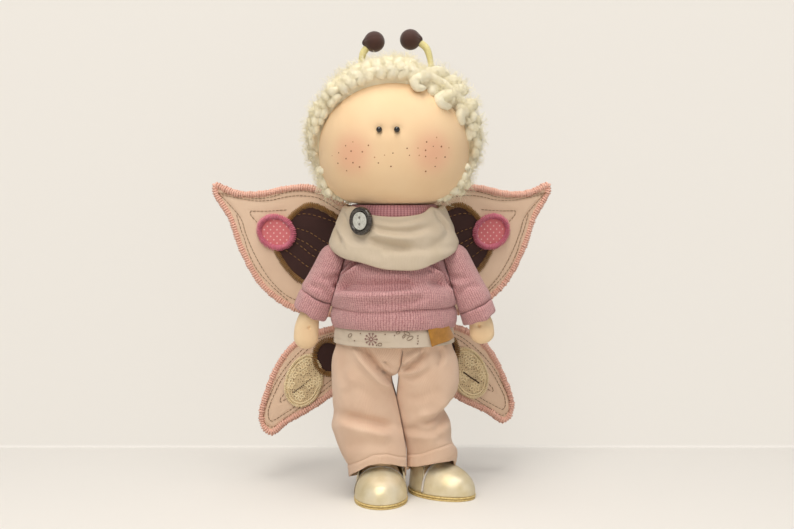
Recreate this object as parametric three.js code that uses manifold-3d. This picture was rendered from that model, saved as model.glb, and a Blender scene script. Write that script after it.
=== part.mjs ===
// A standing cloth doll dressed as a butterfly, in millimetres. It stands on z = 0 and faces -Y,
// so the doll's own left is +X. Stuffed parts are closed soft bodies, and each garment is the
// outer form of its cloth with everything that it is worn over cut away from it.
import * as THREE from 'three';
import { ConvexGeometry } from 'three/addons/geometries/ConvexGeometry.js';
import { mergeVertices } from 'three/addons/utils/BufferGeometryUtils.js';
import Module from 'manifold-3d';

const wasm = await Module();
wasm.setup();

// Air between two pieces that touch.
const clearance = 0.3;

// Shoes: a two-layer sole, an upper of one thin wall and a loose insole under the foot.
const shoe_length = 46;
const shoe_width = 30.6;
const shoe_height = 22;
const outsole_thickness = 1.1;
const midsole_thickness = 1.1;
const upper_wall = 1.1;
const insole_thickness = 0.8;
const insole_inset = 1;
const vamp_edge = 1.5;
const right_shoe = { x: -7.6, y: -9, yaw: 0 };
const left_shoe = { x: 28, y: 6, yaw: 45 };

// Legs, from the hips down to the ankles.
const hip_height = 78;
const hip_spread = 17;
const hip_setback = 2;
const thigh_radius = 10;
const knee_radius = 8.6;
const ankle_radius = 7.5;
const ankle_setback = 8;

// Trousers: how far each leg and the seat stand out from the middle, and the cloth itself.
const trouser_half_width = 36.5;
const trouser_half_depth = 18.5;
const trouser_cloth = 1.6;
const trouser_fold = 0.9;
const right_hem_height = 10.5;
const left_hem_height = 12.5;
const crotch_drop = 4;
const knee_drop = 36;
const shin_drop = 52;
const waist_overlap = 13;

// Trunk and neck, stuffed as one body that stands over the thighs.
const trunk_half_width = 30.5;
const trunk_half_depth = 21;
const shoulder_half_width = 22;
const shoulder_rise = 50;
const neck_radius = 9;
const neck_length = 32;
const neck_in_head = 3.6;

// Head, hair and the bead eyes.
const head_width = 86.6;
const head_depth = 74;
const chin_drop = 34;
const chin_tuck = 2.4;
const crown_rise = 41.6;
const hair_thickness = 6.5;
const hair_loft = 9.2;
const hair_hem_rise = 2;
const hairline_tilt = 25.8;
const hairline_forward = 4;
const hairline_rise = 2.6;
const curl_spacing = 16;
const curl_height = 4.2;
const curl_swell = 1.3;
const fringe_radius = 5.4;
const fringe_standoff = 3.3;
const fringe_lumps = 13;
const fringe_unevenness = 0.17;
const eye_radius = 1.85;
const eye_spacing = 9.8;
const eye_rise = 9.1;
const eye_offset = -3.2;

// Antennae: a wire root in the head, a wound stem that bends inwards and a cloth ball at its tip.
const right_antenna = { spread: 18.6, reach: 7.3, rise: 14.6 };
const left_antenna = { spread: 21.5, reach: 12.1, rise: 17.1 };
const stem_radius = 1.5;
const stem_tip_radius = 2;
const antenna_ball_radius = 6.05;
const antenna_bend = 15;
const antenna_root_radius = 1.1;
const antenna_root_length = 12;

// Arms, sleeves and cuffs. The armhole is a flat seam that leans in towards the neck. The right
// cuff is turned up further than the left one.
const armhole_tilt = 16.5;
const armhole_half_width = 29.4;
const arm_standoff = 5;
const arm_stub_overlap = 2;
const arm_tilt = 25.5;
const arm_length = 33;
const upper_arm_radius = 5.2;
const hand_half_width = 7.3;
const sleeve_radius = 10;
const cuff_radius = 10.4;
const right_arm = { sleeve_length: 23.4, cuff_length: 11.2, hand_length: 19 };
const left_arm = { sleeve_length: 29.4, cuff_length: 8.2, hand_length: 16 };
const arm_forward = 60;
const arm_back = 20;

// Clothes of the trunk. Each ease is how far a garment stands off the stuffed trunk.
const undershirt_ease = 4.6;
const undershirt_length = 35;
const band_ease = 5.8;
const band_height = 12.6;
const band_rise = 12.7;
const sweater_ease = 6.2;
const collar_half_width = 25.4;
const collar_half_depth = 22.4;
const collar_height = 9.5;
const scarf_half_width = 38.2;
const scarf_half_depth = 29.5;
const scarf_thickness = 6.4;
const scarf_fold = 1.1;
const button_radius = 8.1;
const button_thickness = 3;
const pearl_radius = 5.1;
const pearl_thickness = 1.3;
const button_azimuth = 40;
const button_place = 35;
const button_share = 0.86;
const button_sink = 0.6;
const tag_thickness = 1.1;
const tag_width = 15;
const tag_height = 9.6;
const tag_edge = 19.2;
const tag_rise = 0.3;

// Wings, hung on a padded strip that is sewn to the back of the sweater.
const wing_mount = { x: -5, behind_scarf: 2.5, yaw: 4 };
const wing_sweep = 16;
const wing_hinge_spread = 5;
const wing_hinge_inset = 1;
const wing_thickness = 3;
const edging_thickness = 3.6;
const edging_width = 3.3;
const patch_thickness = 0.8;
const lower_wing_droop = 2.2;
const strip_depth = 14;
const strip_drop = 3;
const strip_height = 60;

// Heights that follow from the sizes above.
const midsole_bottom = outsole_thickness + clearance;
const sole_top = midsole_bottom + midsole_thickness;
const trunk_bottom = hip_height + thigh_radius + clearance;
const shoulder_height = trunk_bottom + shoulder_rise;
const head_bottom = shoulder_height + neck_length;
const head_equator = head_bottom + chin_drop;
const band_bottom = trunk_bottom + band_rise;
const sweater_bottom = band_bottom + band_height + clearance;
const far = 400;

const materials = {
  skin: [0xfadcb2, 0.9],
  wool: [0xf0e6cb, 1],
  bead: [0x0c0a0a, 0.15],
  stem: [0xece2a5, 0.95],
  chocolate: [0x3e2626, 0.7],
  knit: [0xb68289, 0.95],
  scarf: [0xdecdb2, 0.9],
  horn: [0x2a211c, 0.2],
  pearl: [0xcdc8b9, 0.2],
  undershirt: [0xe8dac3, 0.9],
  suede: [0xb27d2d, 0.95],
  trousers: [0xe8c6aa, 0.9],
  gold: [0xd7c896, 0.35],
  sole: [0xdcbe6e, 0.5],
  board: [0xb9a88c, 0.9],
  wing: [0xd6b496, 0.9],
  edging: [0xe8b4a0, 0.7],
  pink: [0xd7737d, 0.85],
  lace: [0xdec89b, 0.9],
};

const radians = THREE.MathUtils.degToRad;
const up = new THREE.Vector3(0, 0, 1);
const front = new THREE.Vector3(0, -1, 0);

function vector(x, y, z) {
  return new THREE.Vector3(x, y, z);
}

// A closed skin over a stack of rings. With poles, each end is closed by a fan to its own pole;
// without them the last ring joins the first, as in a hoop.
function skin(rings, poles) {
  const count = rings[0].length;
  const positions = rings.flat().flatMap((point) => point.toArray());
  const triangles = [];
  const bands = poles ? rings.length - 1 : rings.length;
  for (let row = 0; row < bands; row += 1) {
    for (let column = 0; column < count; column += 1) {
      const next = (column + 1) % count;
      const here = row * count;
      const there = ((row + 1) % rings.length) * count;
      triangles.push(here + column, here + next, there + next);
      triangles.push(here + column, there + next, there + column);
    }
  }
  if (poles) {
    const start = rings.length * count;
    const last = (rings.length - 1) * count;
    positions.push(...poles[0].toArray(), ...poles[1].toArray());
    for (let column = 0; column < count; column += 1) {
      const next = (column + 1) % count;
      triangles.push(start, next, column);
      triangles.push(start + 1, last + column, last + next);
    }
  }
  const geometry = new THREE.BufferGeometry();
  geometry.setAttribute('position', new THREE.Float32BufferAttribute(positions, 3));
  geometry.setIndex(triangles);
  return geometry;
}

// A soft form along a spine of rows [x, y, z, half width, half depth], from the top down. Its
// rings stay level, or square to the spine in the XZ plane when tilted. A dome rounds an end off
// by that length, grow swells the form, reach lengthens it straight on, and fold moves the skin.
function form(rows, options = {}) {
  const { count = 20, steps = 2, grow = 0, reach = 0, tilted = false } = options;
  const { dome_start = 0, dome_end = 0, squareness = 2, fold = () => 0 } = options;
  const spine = new THREE.CatmullRomCurve3(rows.map(([x, y, z]) => vector(x, y, z)));
  const sizes = new THREE.CatmullRomCurve3(rows.map((row) => vector(row[3], row[4], 0)));
  const rounded = (value) => Math.sign(value) * Math.abs(value) ** (2 / squareness);
  const along = (t) => (tilted ? spine.getTangent(t).setY(0).normalize() : vector(0, 0, -1));

  const ringAt = (t, offset, scale) => {
    const size = sizes.getPoint(t);
    const centre = spine.getPoint(t).addScaledVector(along(t), offset);
    const across = vector(0, 0, 0).crossVectors(front, along(t)).normalize();
    return Array.from({ length: count }, (_, index) => {
      const angle = (2 * Math.PI * index) / count;
      const swell = grow + fold(angle, centre.z);
      return centre.clone()
        .addScaledVector(across, rounded(Math.cos(angle)) * (size.x + swell) * scale)
        .addScaledVector(front, rounded(Math.sin(angle)) * (size.y + swell) * scale);
    });
  };
  const pole = (t, offset) => spine.getPoint(t).addScaledVector(along(t), offset);

  const dome_angles = [24, 48, 72].map(radians);
  const rings = [];
  for (const angle of dome_start > 0 ? dome_angles.slice().reverse() : []) {
    rings.push(ringAt(0, -(dome_start + grow) * Math.sin(angle), Math.cos(angle)));
  }
  if (reach > 0) rings.push(ringAt(0, -reach, 1));
  const total = (rows.length - 1) * steps;
  for (let step = 0; step <= total; step += 1) rings.push(ringAt(step / total, 0, 1));
  if (reach > 0) rings.push(ringAt(1, reach, 1));
  for (const angle of dome_end > 0 ? dome_angles : []) {
    rings.push(ringAt(1, (dome_end + grow) * Math.sin(angle), Math.cos(angle)));
  }
  const start_pole = pole(0, dome_start > 0 ? -(dome_start + grow) : -reach);
  const end_pole = pole(1, dome_end > 0 ? dome_end + grow : reach);
  return skin(rings, [start_pole, end_pole]);
}

// A plump cushion with an oval plan, whose lower half is fuller than a true ellipse.
function plump(sizes) {
  const geometry = new THREE.SphereGeometry(1, 20, 12).rotateX(Math.PI / 2);
  const position = geometry.getAttribute('position');
  for (let index = 0; index < position.count; index += 1) {
    const point = vector(0, 0, 0).fromBufferAttribute(position, index);
    position.setXYZ(index, ...plumpPoint(point, sizes).toArray());
  }
  return geometry;
}

// Where a point of the unit sphere lies on a form that is fuller below its equator than above it.
function plumpPoint(point, { half_width, half_depth, rise, drop, fullness, z }) {
  const level = Math.min(1, Math.hypot(point.x, point.y));
  const power = point.z < 0 ? 2 / fullness : 1;
  const spread = level > 1e-6 ? level ** (power - 1) : 0;
  const height = Math.abs(point.z) ** power * (point.z < 0 ? -drop : rise);
  return vector(point.x * spread * half_width, point.y * spread * half_depth, z + height);
}

// The same form covered in main curls, rounded mounds with a crease between each two. Their
// middles lie on a spiral from the crown down, which spaces them evenly. A middle stands out by
// swell, and the deepest hollows lie height below it.
function curly(sizes, spacing, swell, height) {
  const area = 4 * Math.PI * sizes.half_width * sizes.half_depth;
  const count = Math.round(area / (spacing ** 2 * Math.sin(Math.PI / 3)));
  const golden_turn = Math.PI * (3 - Math.sqrt(5));
  const middles = Array.from({ length: count }, (_, index) => {
    const rise = 1 - (2 * (index + 0.5)) / count;
    const level = Math.sqrt(1 - rise ** 2);
    const turn = index * golden_turn;
    return vector(level * Math.sin(turn), -level * Math.cos(turn), rise);
  });
  const moved = (point, depth) => plumpPoint(point.clone().normalize(), {
    ...sizes,
    half_width: sizes.half_width + swell - depth * height,
    half_depth: sizes.half_depth + swell - depth * height,
    rise: sizes.rise + swell - depth * height,
    drop: sizes.drop + swell - depth * height,
  });
  const position = new ConvexGeometry(middles).getAttribute('position');
  const points = [];
  for (let index = 0; index < position.count; index += 3) {
    const corners = [0, 1, 2].map((step) => vector(0, 0, 0).fromBufferAttribute(position, index + step));
    const hollow = moved(corners[0].clone().add(corners[1]).add(corners[2]), 1);
    corners.forEach((corner, step) => {
      const [before, after] = [corners[(step + 1) % 3], corners[(step + 2) % 3]];
      const [near, far_off] = [before, after].map((other) => moved(corner.clone().lerp(other, 0.28), 0.17));
      const [edge, edge_off] = [before, after].map((other) => moved(corner.clone().lerp(other, 0.5), 0.7));
      points.push(moved(corner, 0), near, far_off, near, edge, hollow);
      points.push(near, hollow, far_off, far_off, hollow, edge_off);
    });
  }
  return new THREE.BufferGeometry().setFromPoints(points).setIndex(points.map((_, index) => index));
}

// A closed mesh as a solid that can be joined and cut.
function solid(geometry) {
  const bare = new THREE.BufferGeometry();
  bare.setAttribute('position', geometry.getAttribute('position'));
  bare.setIndex(geometry.getIndex());
  const merged = mergeVertices(bare, 1e-4);
  const corners = Array.from(merged.getIndex().array);
  const kept = [];
  for (let index = 0; index < corners.length; index += 3) {
    const [a, b, c] = corners.slice(index, index + 3);
    if (a !== b && b !== c && c !== a) kept.push(a, b, c);
  }
  return new wasm.Manifold(new wasm.Mesh({
    numProp: 3,
    vertProperties: new Float32Array(merged.getAttribute('position').array),
    triVerts: new Uint32Array(kept),
  }));
}

function cut(body, ...tools) {
  return tools.reduce((rest, tool) => rest.subtract(tool), body);
}

// The main piece of a cut cloth: slivers that a cut leaves loose are trimmed off with the waste.
function trimmed(body) {
  return body.decompose().reduce((main, part) => (part.volume() > main.volume() ? part : main));
}

// A moving body's group, at its pivot in the doll's frame.
function pivotAt(parent, x, y, z) {
  const group = new THREE.Group();
  group.userData.origin = vector(x, y, z);
  group.position.copy(group.userData.origin).sub(parent.userData.origin);
  parent.add(group);
  return group;
}

// A named piece. Its solid is given in the doll's frame and hung from its body's pivot.
function piece(group, name, material, body) {
  const mesh_data = trimmed(body).getMesh();
  const geometry = new THREE.BufferGeometry();
  geometry.setAttribute('position', new THREE.BufferAttribute(mesh_data.vertProperties, 3));
  geometry.setIndex(new THREE.BufferAttribute(mesh_data.triVerts, 1));
  geometry.translate(...group.userData.origin.clone().negate().toArray());
  const [color, roughness] = materials[material];
  const look = new THREE.MeshStandardMaterial({ color, roughness, metalness: 0, flatShading: true });
  const mesh = new THREE.Mesh(geometry, look);
  mesh.name = name;
  group.add(mesh);
}

function ball(radius, centre, count = 12) {
  const sphere = new THREE.SphereGeometry(radius, count, Math.round(count * 0.75));
  return solid(sphere.translate(centre.x, centre.y, centre.z));
}

// A round bar from start along a unit vector, as a pin, a stub or a hole.
function bar(radius, length, start, direction, count = 12) {
  const turn = new THREE.Quaternion().setFromUnitVectors(vector(0, 1, 0), direction);
  const geometry = new THREE.CylinderGeometry(radius, radius, length, count);
  geometry.translate(0, length / 2, 0).applyQuaternion(turn);
  return solid(geometry.translate(start.x, start.y, start.z));
}

// A flat plate standing in the XZ plane, with its middle at the given y.
function plate(points, thickness, y = 0, hole = null) {
  const shape = new THREE.Shape(points);
  if (hole) shape.holes.push(new THREE.Path(hole));
  const geometry = new THREE.ExtrudeGeometry(shape, { depth: thickness, bevelEnabled: false });
  return geometry.rotateX(Math.PI / 2).translate(0, y + thickness / 2, 0);
}

function above(z) {
  return solid(new THREE.BoxGeometry(far, far, far).translate(0, 0, z + far / 2));
}

function below(z) {
  return solid(new THREE.BoxGeometry(far, far, far).translate(0, 0, z - far / 2));
}

// The stuffed trunk with its neck, which ends inside the head.
const trunk_rows = [
  [0, 0, head_bottom + neck_in_head, neck_radius, neck_radius],
  [0, 0, shoulder_height + 20, neck_radius + 0.4, neck_radius + 0.4],
  [0, 0, shoulder_height + 14, neck_radius + 5, neck_radius + 3.4],
  [0, 0, shoulder_height + 7, shoulder_half_width - 1, trunk_half_depth - 5.5],
  [0, 0, shoulder_height - 3, shoulder_half_width + 2.5, trunk_half_depth - 4],
  [0, 0, trunk_bottom + 35, trunk_half_width - 3.5, trunk_half_depth - 2],
  [0, 0, trunk_bottom + 22, trunk_half_width, trunk_half_depth],
  [0, 0, trunk_bottom + 10, trunk_half_width, trunk_half_depth],
  [0, 0, trunk_bottom + 3, trunk_half_width - 2.5, trunk_half_depth - 2],
  [0, 0, trunk_bottom, trunk_half_width - 7, trunk_half_depth - 6],
];
const trunkForm = (grow) => solid(form(trunk_rows, { count: 14, steps: 1, grow }));
const trunk = trunkForm(0);
const over_trunk = trunkForm(clearance);

// The shoe's last from the top line down to the sole, as shares of the shoe's height, half width
// and half length. The last column moves a ring's centre back towards the heel.
const last_shares = [
  [1, 0.62, 0.43, 0.37],
  [0.9, 0.7, 0.55, 0.3],
  [0.76, 0.82, 0.71, 0.19],
  [0.58, 0.93, 0.87, 0.07],
  [0.34, 1, 0.99, 0],
  [0, 0.98, 1, 0],
];

function placed(geometry, shoe) {
  return solid(geometry.rotateZ(radians(shoe.yaw)).translate(shoe.x, shoe.y, 0));
}

function lastForm(shoe, grow, reach = 0) {
  const base = sole_top + clearance;
  const rows = last_shares.map(([height, wide, long, back]) => [
    0,
    (back * shoe_length) / 2,
    base + (shoe_height - base) * height,
    (wide * shoe_width) / 2,
    (long * shoe_length) / 2,
  ]);
  return placed(form(rows, { count: 16, steps: 1, grow, reach }), shoe);
}

function soleLayer(shoe, bottom, thickness, grow = 0) {
  const layer = new THREE.CylinderGeometry(1, 1, thickness, 20).rotateX(Math.PI / 2);
  layer.scale(shoe_width / 2 + grow, shoe_length / 2 + grow, 1);
  return placed(layer.translate(0, 0, bottom + thickness / 2), shoe);
}

function ankleOf(shoe) {
  return vector(0, ankle_setback, 0).applyAxisAngle(up, radians(shoe.yaw)).add(vector(shoe.x, shoe.y, 0));
}

// A stuffed leg, domed over the hip, running down to the ankle.
function legForm(side, shoe, grow) {
  const hip = vector(side * hip_spread, hip_setback, hip_height);
  const ankle = ankleOf(shoe).setZ(shoe_height);
  const level = (share, radius) => {
    const point = hip.clone().lerp(ankle, share);
    return [point.x, point.y, point.z, radius, radius];
  };
  const rows = [
    level(0, thigh_radius),
    level(0.3, thigh_radius),
    level(0.6, knee_radius),
    level(0.8, knee_radius),
    level(1, ankle_radius),
    [ankle.x, ankle.y, shoe_height / 2, ankle_radius, ankle_radius],
  ];
  return solid(form(rows, { count: 10, steps: 1, grow, dome_start: thigh_radius }));
}

// The seam between the trouser legs, as rows [x, z, half gap]: the front seam, the small gap
// under the crotch and the line on which the legs touch.
const crotch = hip_height - crotch_drop;
const seam = [
  [7.2, trunk_bottom + 20, 0],
  [4, crotch + 6, 0],
  [1.9, crotch + 0.5, 0],
  [0.6, crotch - 1.2, 2.1],
  [0.7, crotch - 7, 1.5],
  [1.3, crotch - 14, 0],
  [3.5, crotch - 24, 0],
  [5.6, crotch - 35, 0],
  [7.4, crotch - 46, 0],
  [7.4, -1, 0],
];

function seamAt(z) {
  const next = seam.findIndex((row) => row[1] <= z);
  if (next < 1) return seam.at(next)[0];
  const [x0, z0] = seam[next - 1];
  const [x1, z1] = seam[next];
  return x0 + ((x1 - x0) * (z0 - z)) / (z0 - z1);
}

// Everything on one side of the seam, set back from it.
function besideSeam(side, setback) {
  const edge = seam.map(([x, z, gap]) => new THREE.Vector2(x + side * (gap + setback), z));
  const corners = [new THREE.Vector2(side * far, -1), new THREE.Vector2(side * far, seam[0][1])];
  return solid(plate([...edge, ...corners], far));
}

// One side of the trousers as rows [height, outer, past, half depth, centre y]: outer is how far
// it stands out from the middle of the doll, past how far its rings run beyond the seam, up to
// the other hip.
const waist = trunk_bottom + waist_overlap;
const trouser_rows = {
  right: [
    [waist, trunk_half_width + 2.1, far, trunk_half_depth + 1.6, 0],
    [trunk_bottom + 2, trunk_half_width + 3.3, far, trouser_half_depth + 1.5, 0.5],
    [hip_height + 4, trouser_half_width - 0.3, 22, trouser_half_depth + 0.6, 1.5],
    [hip_height - 8, trouser_half_width, 2, trouser_half_depth, 2],
    [hip_height - 21, trouser_half_width - 0.6, 2, trouser_half_depth - 1, 2],
    [hip_height - knee_drop + 6, trouser_half_width - 0.9, 2, trouser_half_depth - 1.8, 2],
    [hip_height - knee_drop, trouser_half_width + 0.1, 2, trouser_half_depth - 1.3, 2],
    [hip_height - knee_drop - 6, trouser_half_width - 1.6, 2, trouser_half_depth - 1.5, 1.6],
    [hip_height - shin_drop, trouser_half_width - 5.2, 2, trouser_half_depth - 1.9, 1],
    [right_hem_height + 7.5, trouser_half_width - 9.2, 2, trouser_half_depth - 2.1, 0.5],
    [right_hem_height, trouser_half_width - 10.3, 2, trouser_half_depth - 2.5, 0],
  ],
  left: [
    [waist, trunk_half_width + 2.1, far, trunk_half_depth + 1.6, 0],
    [trunk_bottom + 2, trunk_half_width + 3.3, far, trouser_half_depth + 1.5, 0.5],
    [hip_height + 2, trouser_half_width + 0.9, 18, trouser_half_depth + 0.5, 2],
    [hip_height - 11, trouser_half_width + 1.4, 2, trouser_half_depth - 0.5, 3],
    [hip_height - 20, trouser_half_width - 1.5, 2, trouser_half_depth - 1.5, 4],
    [hip_height - 26, trouser_half_width - 5.1, 2, trouser_half_depth - 2.5, 4.6],
    [hip_height - knee_drop + 4, trouser_half_width - 4.5, 2, trouser_half_depth - 2.2, 5],
    [hip_height - knee_drop - 4, trouser_half_width - 2.8, 2, trouser_half_depth - 2.1, 6],
    [hip_height - shin_drop + 4, trouser_half_width - 2.4, 2, trouser_half_depth - 2.4, 7],
    [left_hem_height + 10, trouser_half_width + 0.6, 2, trouser_half_depth - 2.7, 8],
    [left_hem_height, trouser_half_width, 2, trouser_half_depth - 3, 8],
  ],
};

// Shallow folds that run round the trouser leg above and below the knee, none at the seat.
function trouserFold(angle, z) {
  const fade = THREE.MathUtils.clamp((crotch - z) / 14, 0, 1);
  return fade * trouser_fold * Math.sin(angle + (hip_height - z) / 4.5);
}

function trouserForm(side_name, grow, reach = 0) {
  const side = side_name === 'left' ? 1 : -1;
  const rows = trouser_rows[side_name].map(([height, outer, past, half_depth, y]) => {
    const inner = Math.max(-outer, side * seamAt(height) - past);
    return [(side * (outer + inner)) / 2, y, height, (outer - inner) / 2, half_depth];
  });
  return solid(form(rows, { count: 14, steps: 1, grow, reach, squareness: 2.2, fold: trouserFold }));
}

const doll = new THREE.Group();
doll.userData.origin = vector(0, 0, 0);

// Legs, shoes and trousers, one side at a time.
for (const [side_name, side, shoe] of [['right', -1, right_shoe], ['left', 1, left_shoe]]) {
  const leg_body = pivotAt(doll, side * hip_spread, hip_setback, hip_height);
  const insole_bottom = sole_top + clearance;
  const foot_bottom = insole_bottom + insole_thickness + clearance;
  const inside = lastForm(shoe, -upper_wall, 3);
  const foot = cut(lastForm(shoe, -upper_wall - clearance), below(foot_bottom));
  const leg = foot.add(legForm(side, shoe, 0));
  const over_leg = legForm(side, shoe, clearance);
  const upper = cut(lastForm(shoe, 0), inside, over_leg);
  const toward_toe = (edge) => placed(
    new THREE.BoxGeometry(far, far, far).translate(0, edge - far / 2, 0),
    shoe,
  );
  const sole = soleLayer(shoe, 0, sole_top + clearance, clearance);
  const over_shoe = lastForm(shoe, clearance).add(sole);
  const region = besideSeam(side, clearance / 2);
  const lining = besideSeam(side, clearance / 2 + trouser_cloth);
  const cavity = trouserForm(side_name, -trouser_cloth, 3).intersect(lining);
  const cloth = trouserForm(side_name, 0).intersect(region);

  piece(leg_body, `leg_${side_name}`, 'skin', leg);
  piece(leg_body, `insole_${side_name}`, 'board',
    soleLayer(shoe, insole_bottom, insole_thickness, -upper_wall - clearance - insole_inset));
  piece(leg_body, `shoe_outsole_${side_name}`, 'sole', soleLayer(shoe, 0, outsole_thickness));
  piece(leg_body, `shoe_midsole_${side_name}`, 'sole',
    soleLayer(shoe, midsole_bottom, midsole_thickness));
  piece(leg_body, `shoe_vamp_${side_name}`, 'gold',
    upper.intersect(toward_toe(vamp_edge - clearance / 2)));
  piece(leg_body, `shoe_quarter_${side_name}`, 'gold',
    cut(upper, toward_toe(vamp_edge + clearance / 2)));
  piece(leg_body, `trouser_${side_name}`, 'trousers',
    cut(cloth, cavity, over_trunk, over_leg, over_shoe));
}

piece(doll, 'torso', 'skin', trunk);

// Undershirt, sweater band, sweater and collar, each cut by what it is worn over.
function garmentForm(rows, grow, options = {}) {
  const placed_rows = rows.map(([z, wide, deep]) => [0, 0, z, wide, deep]);
  return solid(form(placed_rows, { count: 16, steps: 1, grow, squareness: 2.15, ...options }));
}

const over_trousers = trouserForm('right', clearance).add(trouserForm('left', clearance));
const shirt_bottom = trunk_bottom + 2.7;
const shirt_wide = trunk_half_width + undershirt_ease;
const shirt_deep = trunk_half_depth + undershirt_ease - 0.8;
const shirt_rows = [
  [shirt_bottom + undershirt_length, trunk_half_width - 1, trunk_half_depth - 0.2],
  [shirt_bottom + 24, trunk_half_width + 2.2, trunk_half_depth + 2.2],
  [shirt_bottom + 12, shirt_wide - 1.2, shirt_deep - 1],
  [shirt_bottom + 7, shirt_wide - 0.4, shirt_deep],
  [shirt_bottom, shirt_wide, shirt_deep],
];
const shirt = cut(garmentForm(shirt_rows, 0), over_trunk, over_trousers);
const over_shirt = garmentForm(shirt_rows, clearance, { reach: clearance });
piece(doll, 'undershirt', 'undershirt', shirt);

const band_wide = trunk_half_width + band_ease;
const band_deep = trunk_half_depth + band_ease;
const band_rows = [
  [band_bottom + band_height, band_wide - 1.6, band_deep - 1.4],
  [band_bottom + band_height - 3, band_wide, band_deep],
  [band_bottom + 3, band_wide + 0.2, band_deep + 0.2],
  [band_bottom, band_wide - 0.9, band_deep - 0.8],
];
piece(doll, 'sweater_waistband', 'knit', cut(garmentForm(band_rows, 0), over_trunk, over_shirt));

const knit_wide = trunk_half_width + sweater_ease;
const knit_deep = trunk_half_depth + sweater_ease;
const sweater_rows = [
  [shoulder_height + 27, neck_radius + 5, neck_radius + 4.5],
  [shoulder_height + 23, neck_radius + 7.5, neck_radius + 6.5],
  [shoulder_height + 17, neck_radius + 12.5, neck_radius + 9],
  [shoulder_height + 9, shoulder_half_width + 5, trunk_half_depth],
  [shoulder_height + 1, shoulder_half_width + 8, trunk_half_depth + 2],
  [shoulder_height - 7, shoulder_half_width + 10, trunk_half_depth + 3.5],
  [sweater_bottom + 12, knit_wide - 2.1, knit_deep - 1.2],
  [sweater_bottom + 7, knit_wide, knit_deep],
  [sweater_bottom + 3, knit_wide, knit_deep],
  [sweater_bottom, knit_wide - 2, knit_deep - 1.8],
];
const sweater_form = garmentForm(sweater_rows, 0);

// The armhole's seam plane and the arm's own line, for one side. The shoulder point lies on the
// swing axis, which is square to the seam.
function shoulderOf(side) {
  const tilt = radians(armhole_tilt);
  const outward = vector(side * Math.cos(tilt), 0, Math.sin(tilt));
  const seat = vector(side * armhole_half_width, 0, shoulder_height - 0.6);
  const centre = seat.clone().addScaledVector(outward, arm_standoff);
  const down = vector(side * Math.sin(radians(arm_tilt)), 0, -Math.cos(radians(arm_tilt)));
  return { outward, seat, centre, down };
}

// Everything outside the armhole seam of one side.
function beyondArmhole(side, offset) {
  const { outward, seat } = shoulderOf(side);
  const turn = new THREE.Quaternion().setFromUnitVectors(vector(1, 0, 0), outward);
  const box = new THREE.BoxGeometry(far, far, far).translate(far / 2 + offset, 0, 0);
  return solid(box.applyQuaternion(turn).translate(seat.x, seat.y, seat.z));
}

const sweater = cut(
  sweater_form,
  over_trunk,
  over_shirt,
  beyondArmhole(-1, -clearance / 2),
  beyondArmhole(1, -clearance / 2),
);
piece(doll, 'sweater_body', 'knit', sweater);

// The swept head: what the head and its hair fill as they turn about the neck.
function headForm(grow, swept = false) {
  const half_width = head_width / 2 + grow;
  return solid(plump({
    half_width,
    half_depth: swept ? half_width : head_depth / 2 + grow,
    rise: crown_rise + grow,
    drop: chin_drop + chin_tuck + grow,
    fullness: 2.9,
    z: head_equator,
  }));
}
const head_sweep = cut(headForm(clearance, true), below(head_bottom - clearance));

const collar_bottom = head_bottom - collar_height;
const collar_rows = [
  [head_bottom + 1, collar_half_width - 0.3, collar_half_depth - 0.3],
  [collar_bottom + 4, collar_half_width, collar_half_depth],
  [collar_bottom, collar_half_width - 1.6, collar_half_depth - 1.6],
];
const over_sweater = garmentForm(sweater_rows, clearance);
piece(doll, 'sweater_collar', 'knit',
  cut(garmentForm(collar_rows, 0), over_trunk, over_sweater, head_sweep));

// The scarf: a wide soft hoop, low in front and lifted over the shoulders. Its rows give a ring's
// share of the height from hem to rim, and how far it draws in from the hem's half width.
const scarf_profile = [
  [0, 1.8],
  [0.1, 0],
  [0.3, 1.4],
  [0.5, 3.6],
  [0.7, 6],
  [0.86, 7.6],
  [0.97, 9],
  [1, 10.4],
];
const scarf_rim = { front: -5.2, side: 1.2, back: -0.5 };
const scarf_hem = { front: -35.3, side: -24, back: -29 };

function scarfLevel(level, angle) {
  const toward = Math.sin(angle);
  const share = Math.abs(toward) ** 1.45;
  return head_bottom + level.side + ((toward > 0 ? level.front : level.back) - level.side) * share;
}

function scarfPoint(angle, share, draw, grow = 0) {
  const hem = scarfLevel(scarf_hem, angle) - grow;
  const rim = scarfLevel(scarf_rim, angle) + grow;
  const fold = scarf_fold * Math.sin(Math.PI * share) * Math.cos(2 * Math.PI * (2.2 * share - angle / 2.4));
  const wide = scarf_half_width - draw + fold + grow;
  const deep = scarf_half_depth - draw * 0.45 + fold + grow;
  return vector(Math.cos(angle) * wide, -Math.sin(angle) * deep, hem + (rim - hem) * share);
}

const scarf_angles = Array.from({ length: 22 }, (_, index) => (2 * Math.PI * index) / 22);

function scarfForm() {
  const inner = scarf_profile.slice(1, -1).reverse().filter((_, row) => row % 2 === 0);
  return solid(skin(scarf_angles.map((angle) => [
    ...scarf_profile.map(([share, draw]) => scarfPoint(angle, share, draw)),
    ...inner.map(([share, draw]) => scarfPoint(angle, share, draw + scarf_thickness)),
  ]), null));
}

// All that lies within the scarf's outer face, grown, for what lies against its back.
function withinScarf(grow) {
  const rings = scarf_profile.slice().reverse().map(([share, draw]) => (
    scarf_angles.map((angle) => scarfPoint(angle, share, draw, grow))));
  const poles = [scarf_rim.side, scarf_hem.side].map((rise) => vector(0, 0, head_bottom + rise));
  return solid(skin(rings, poles));
}

const over_collar = garmentForm(collar_rows, clearance);

// The arm's own line, and an arm or sleeve form on it, swung about the armhole.
function armPoint(side, distance) {
  const { centre, down } = shoulderOf(side);
  return centre.clone().addScaledVector(down, distance);
}

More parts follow.
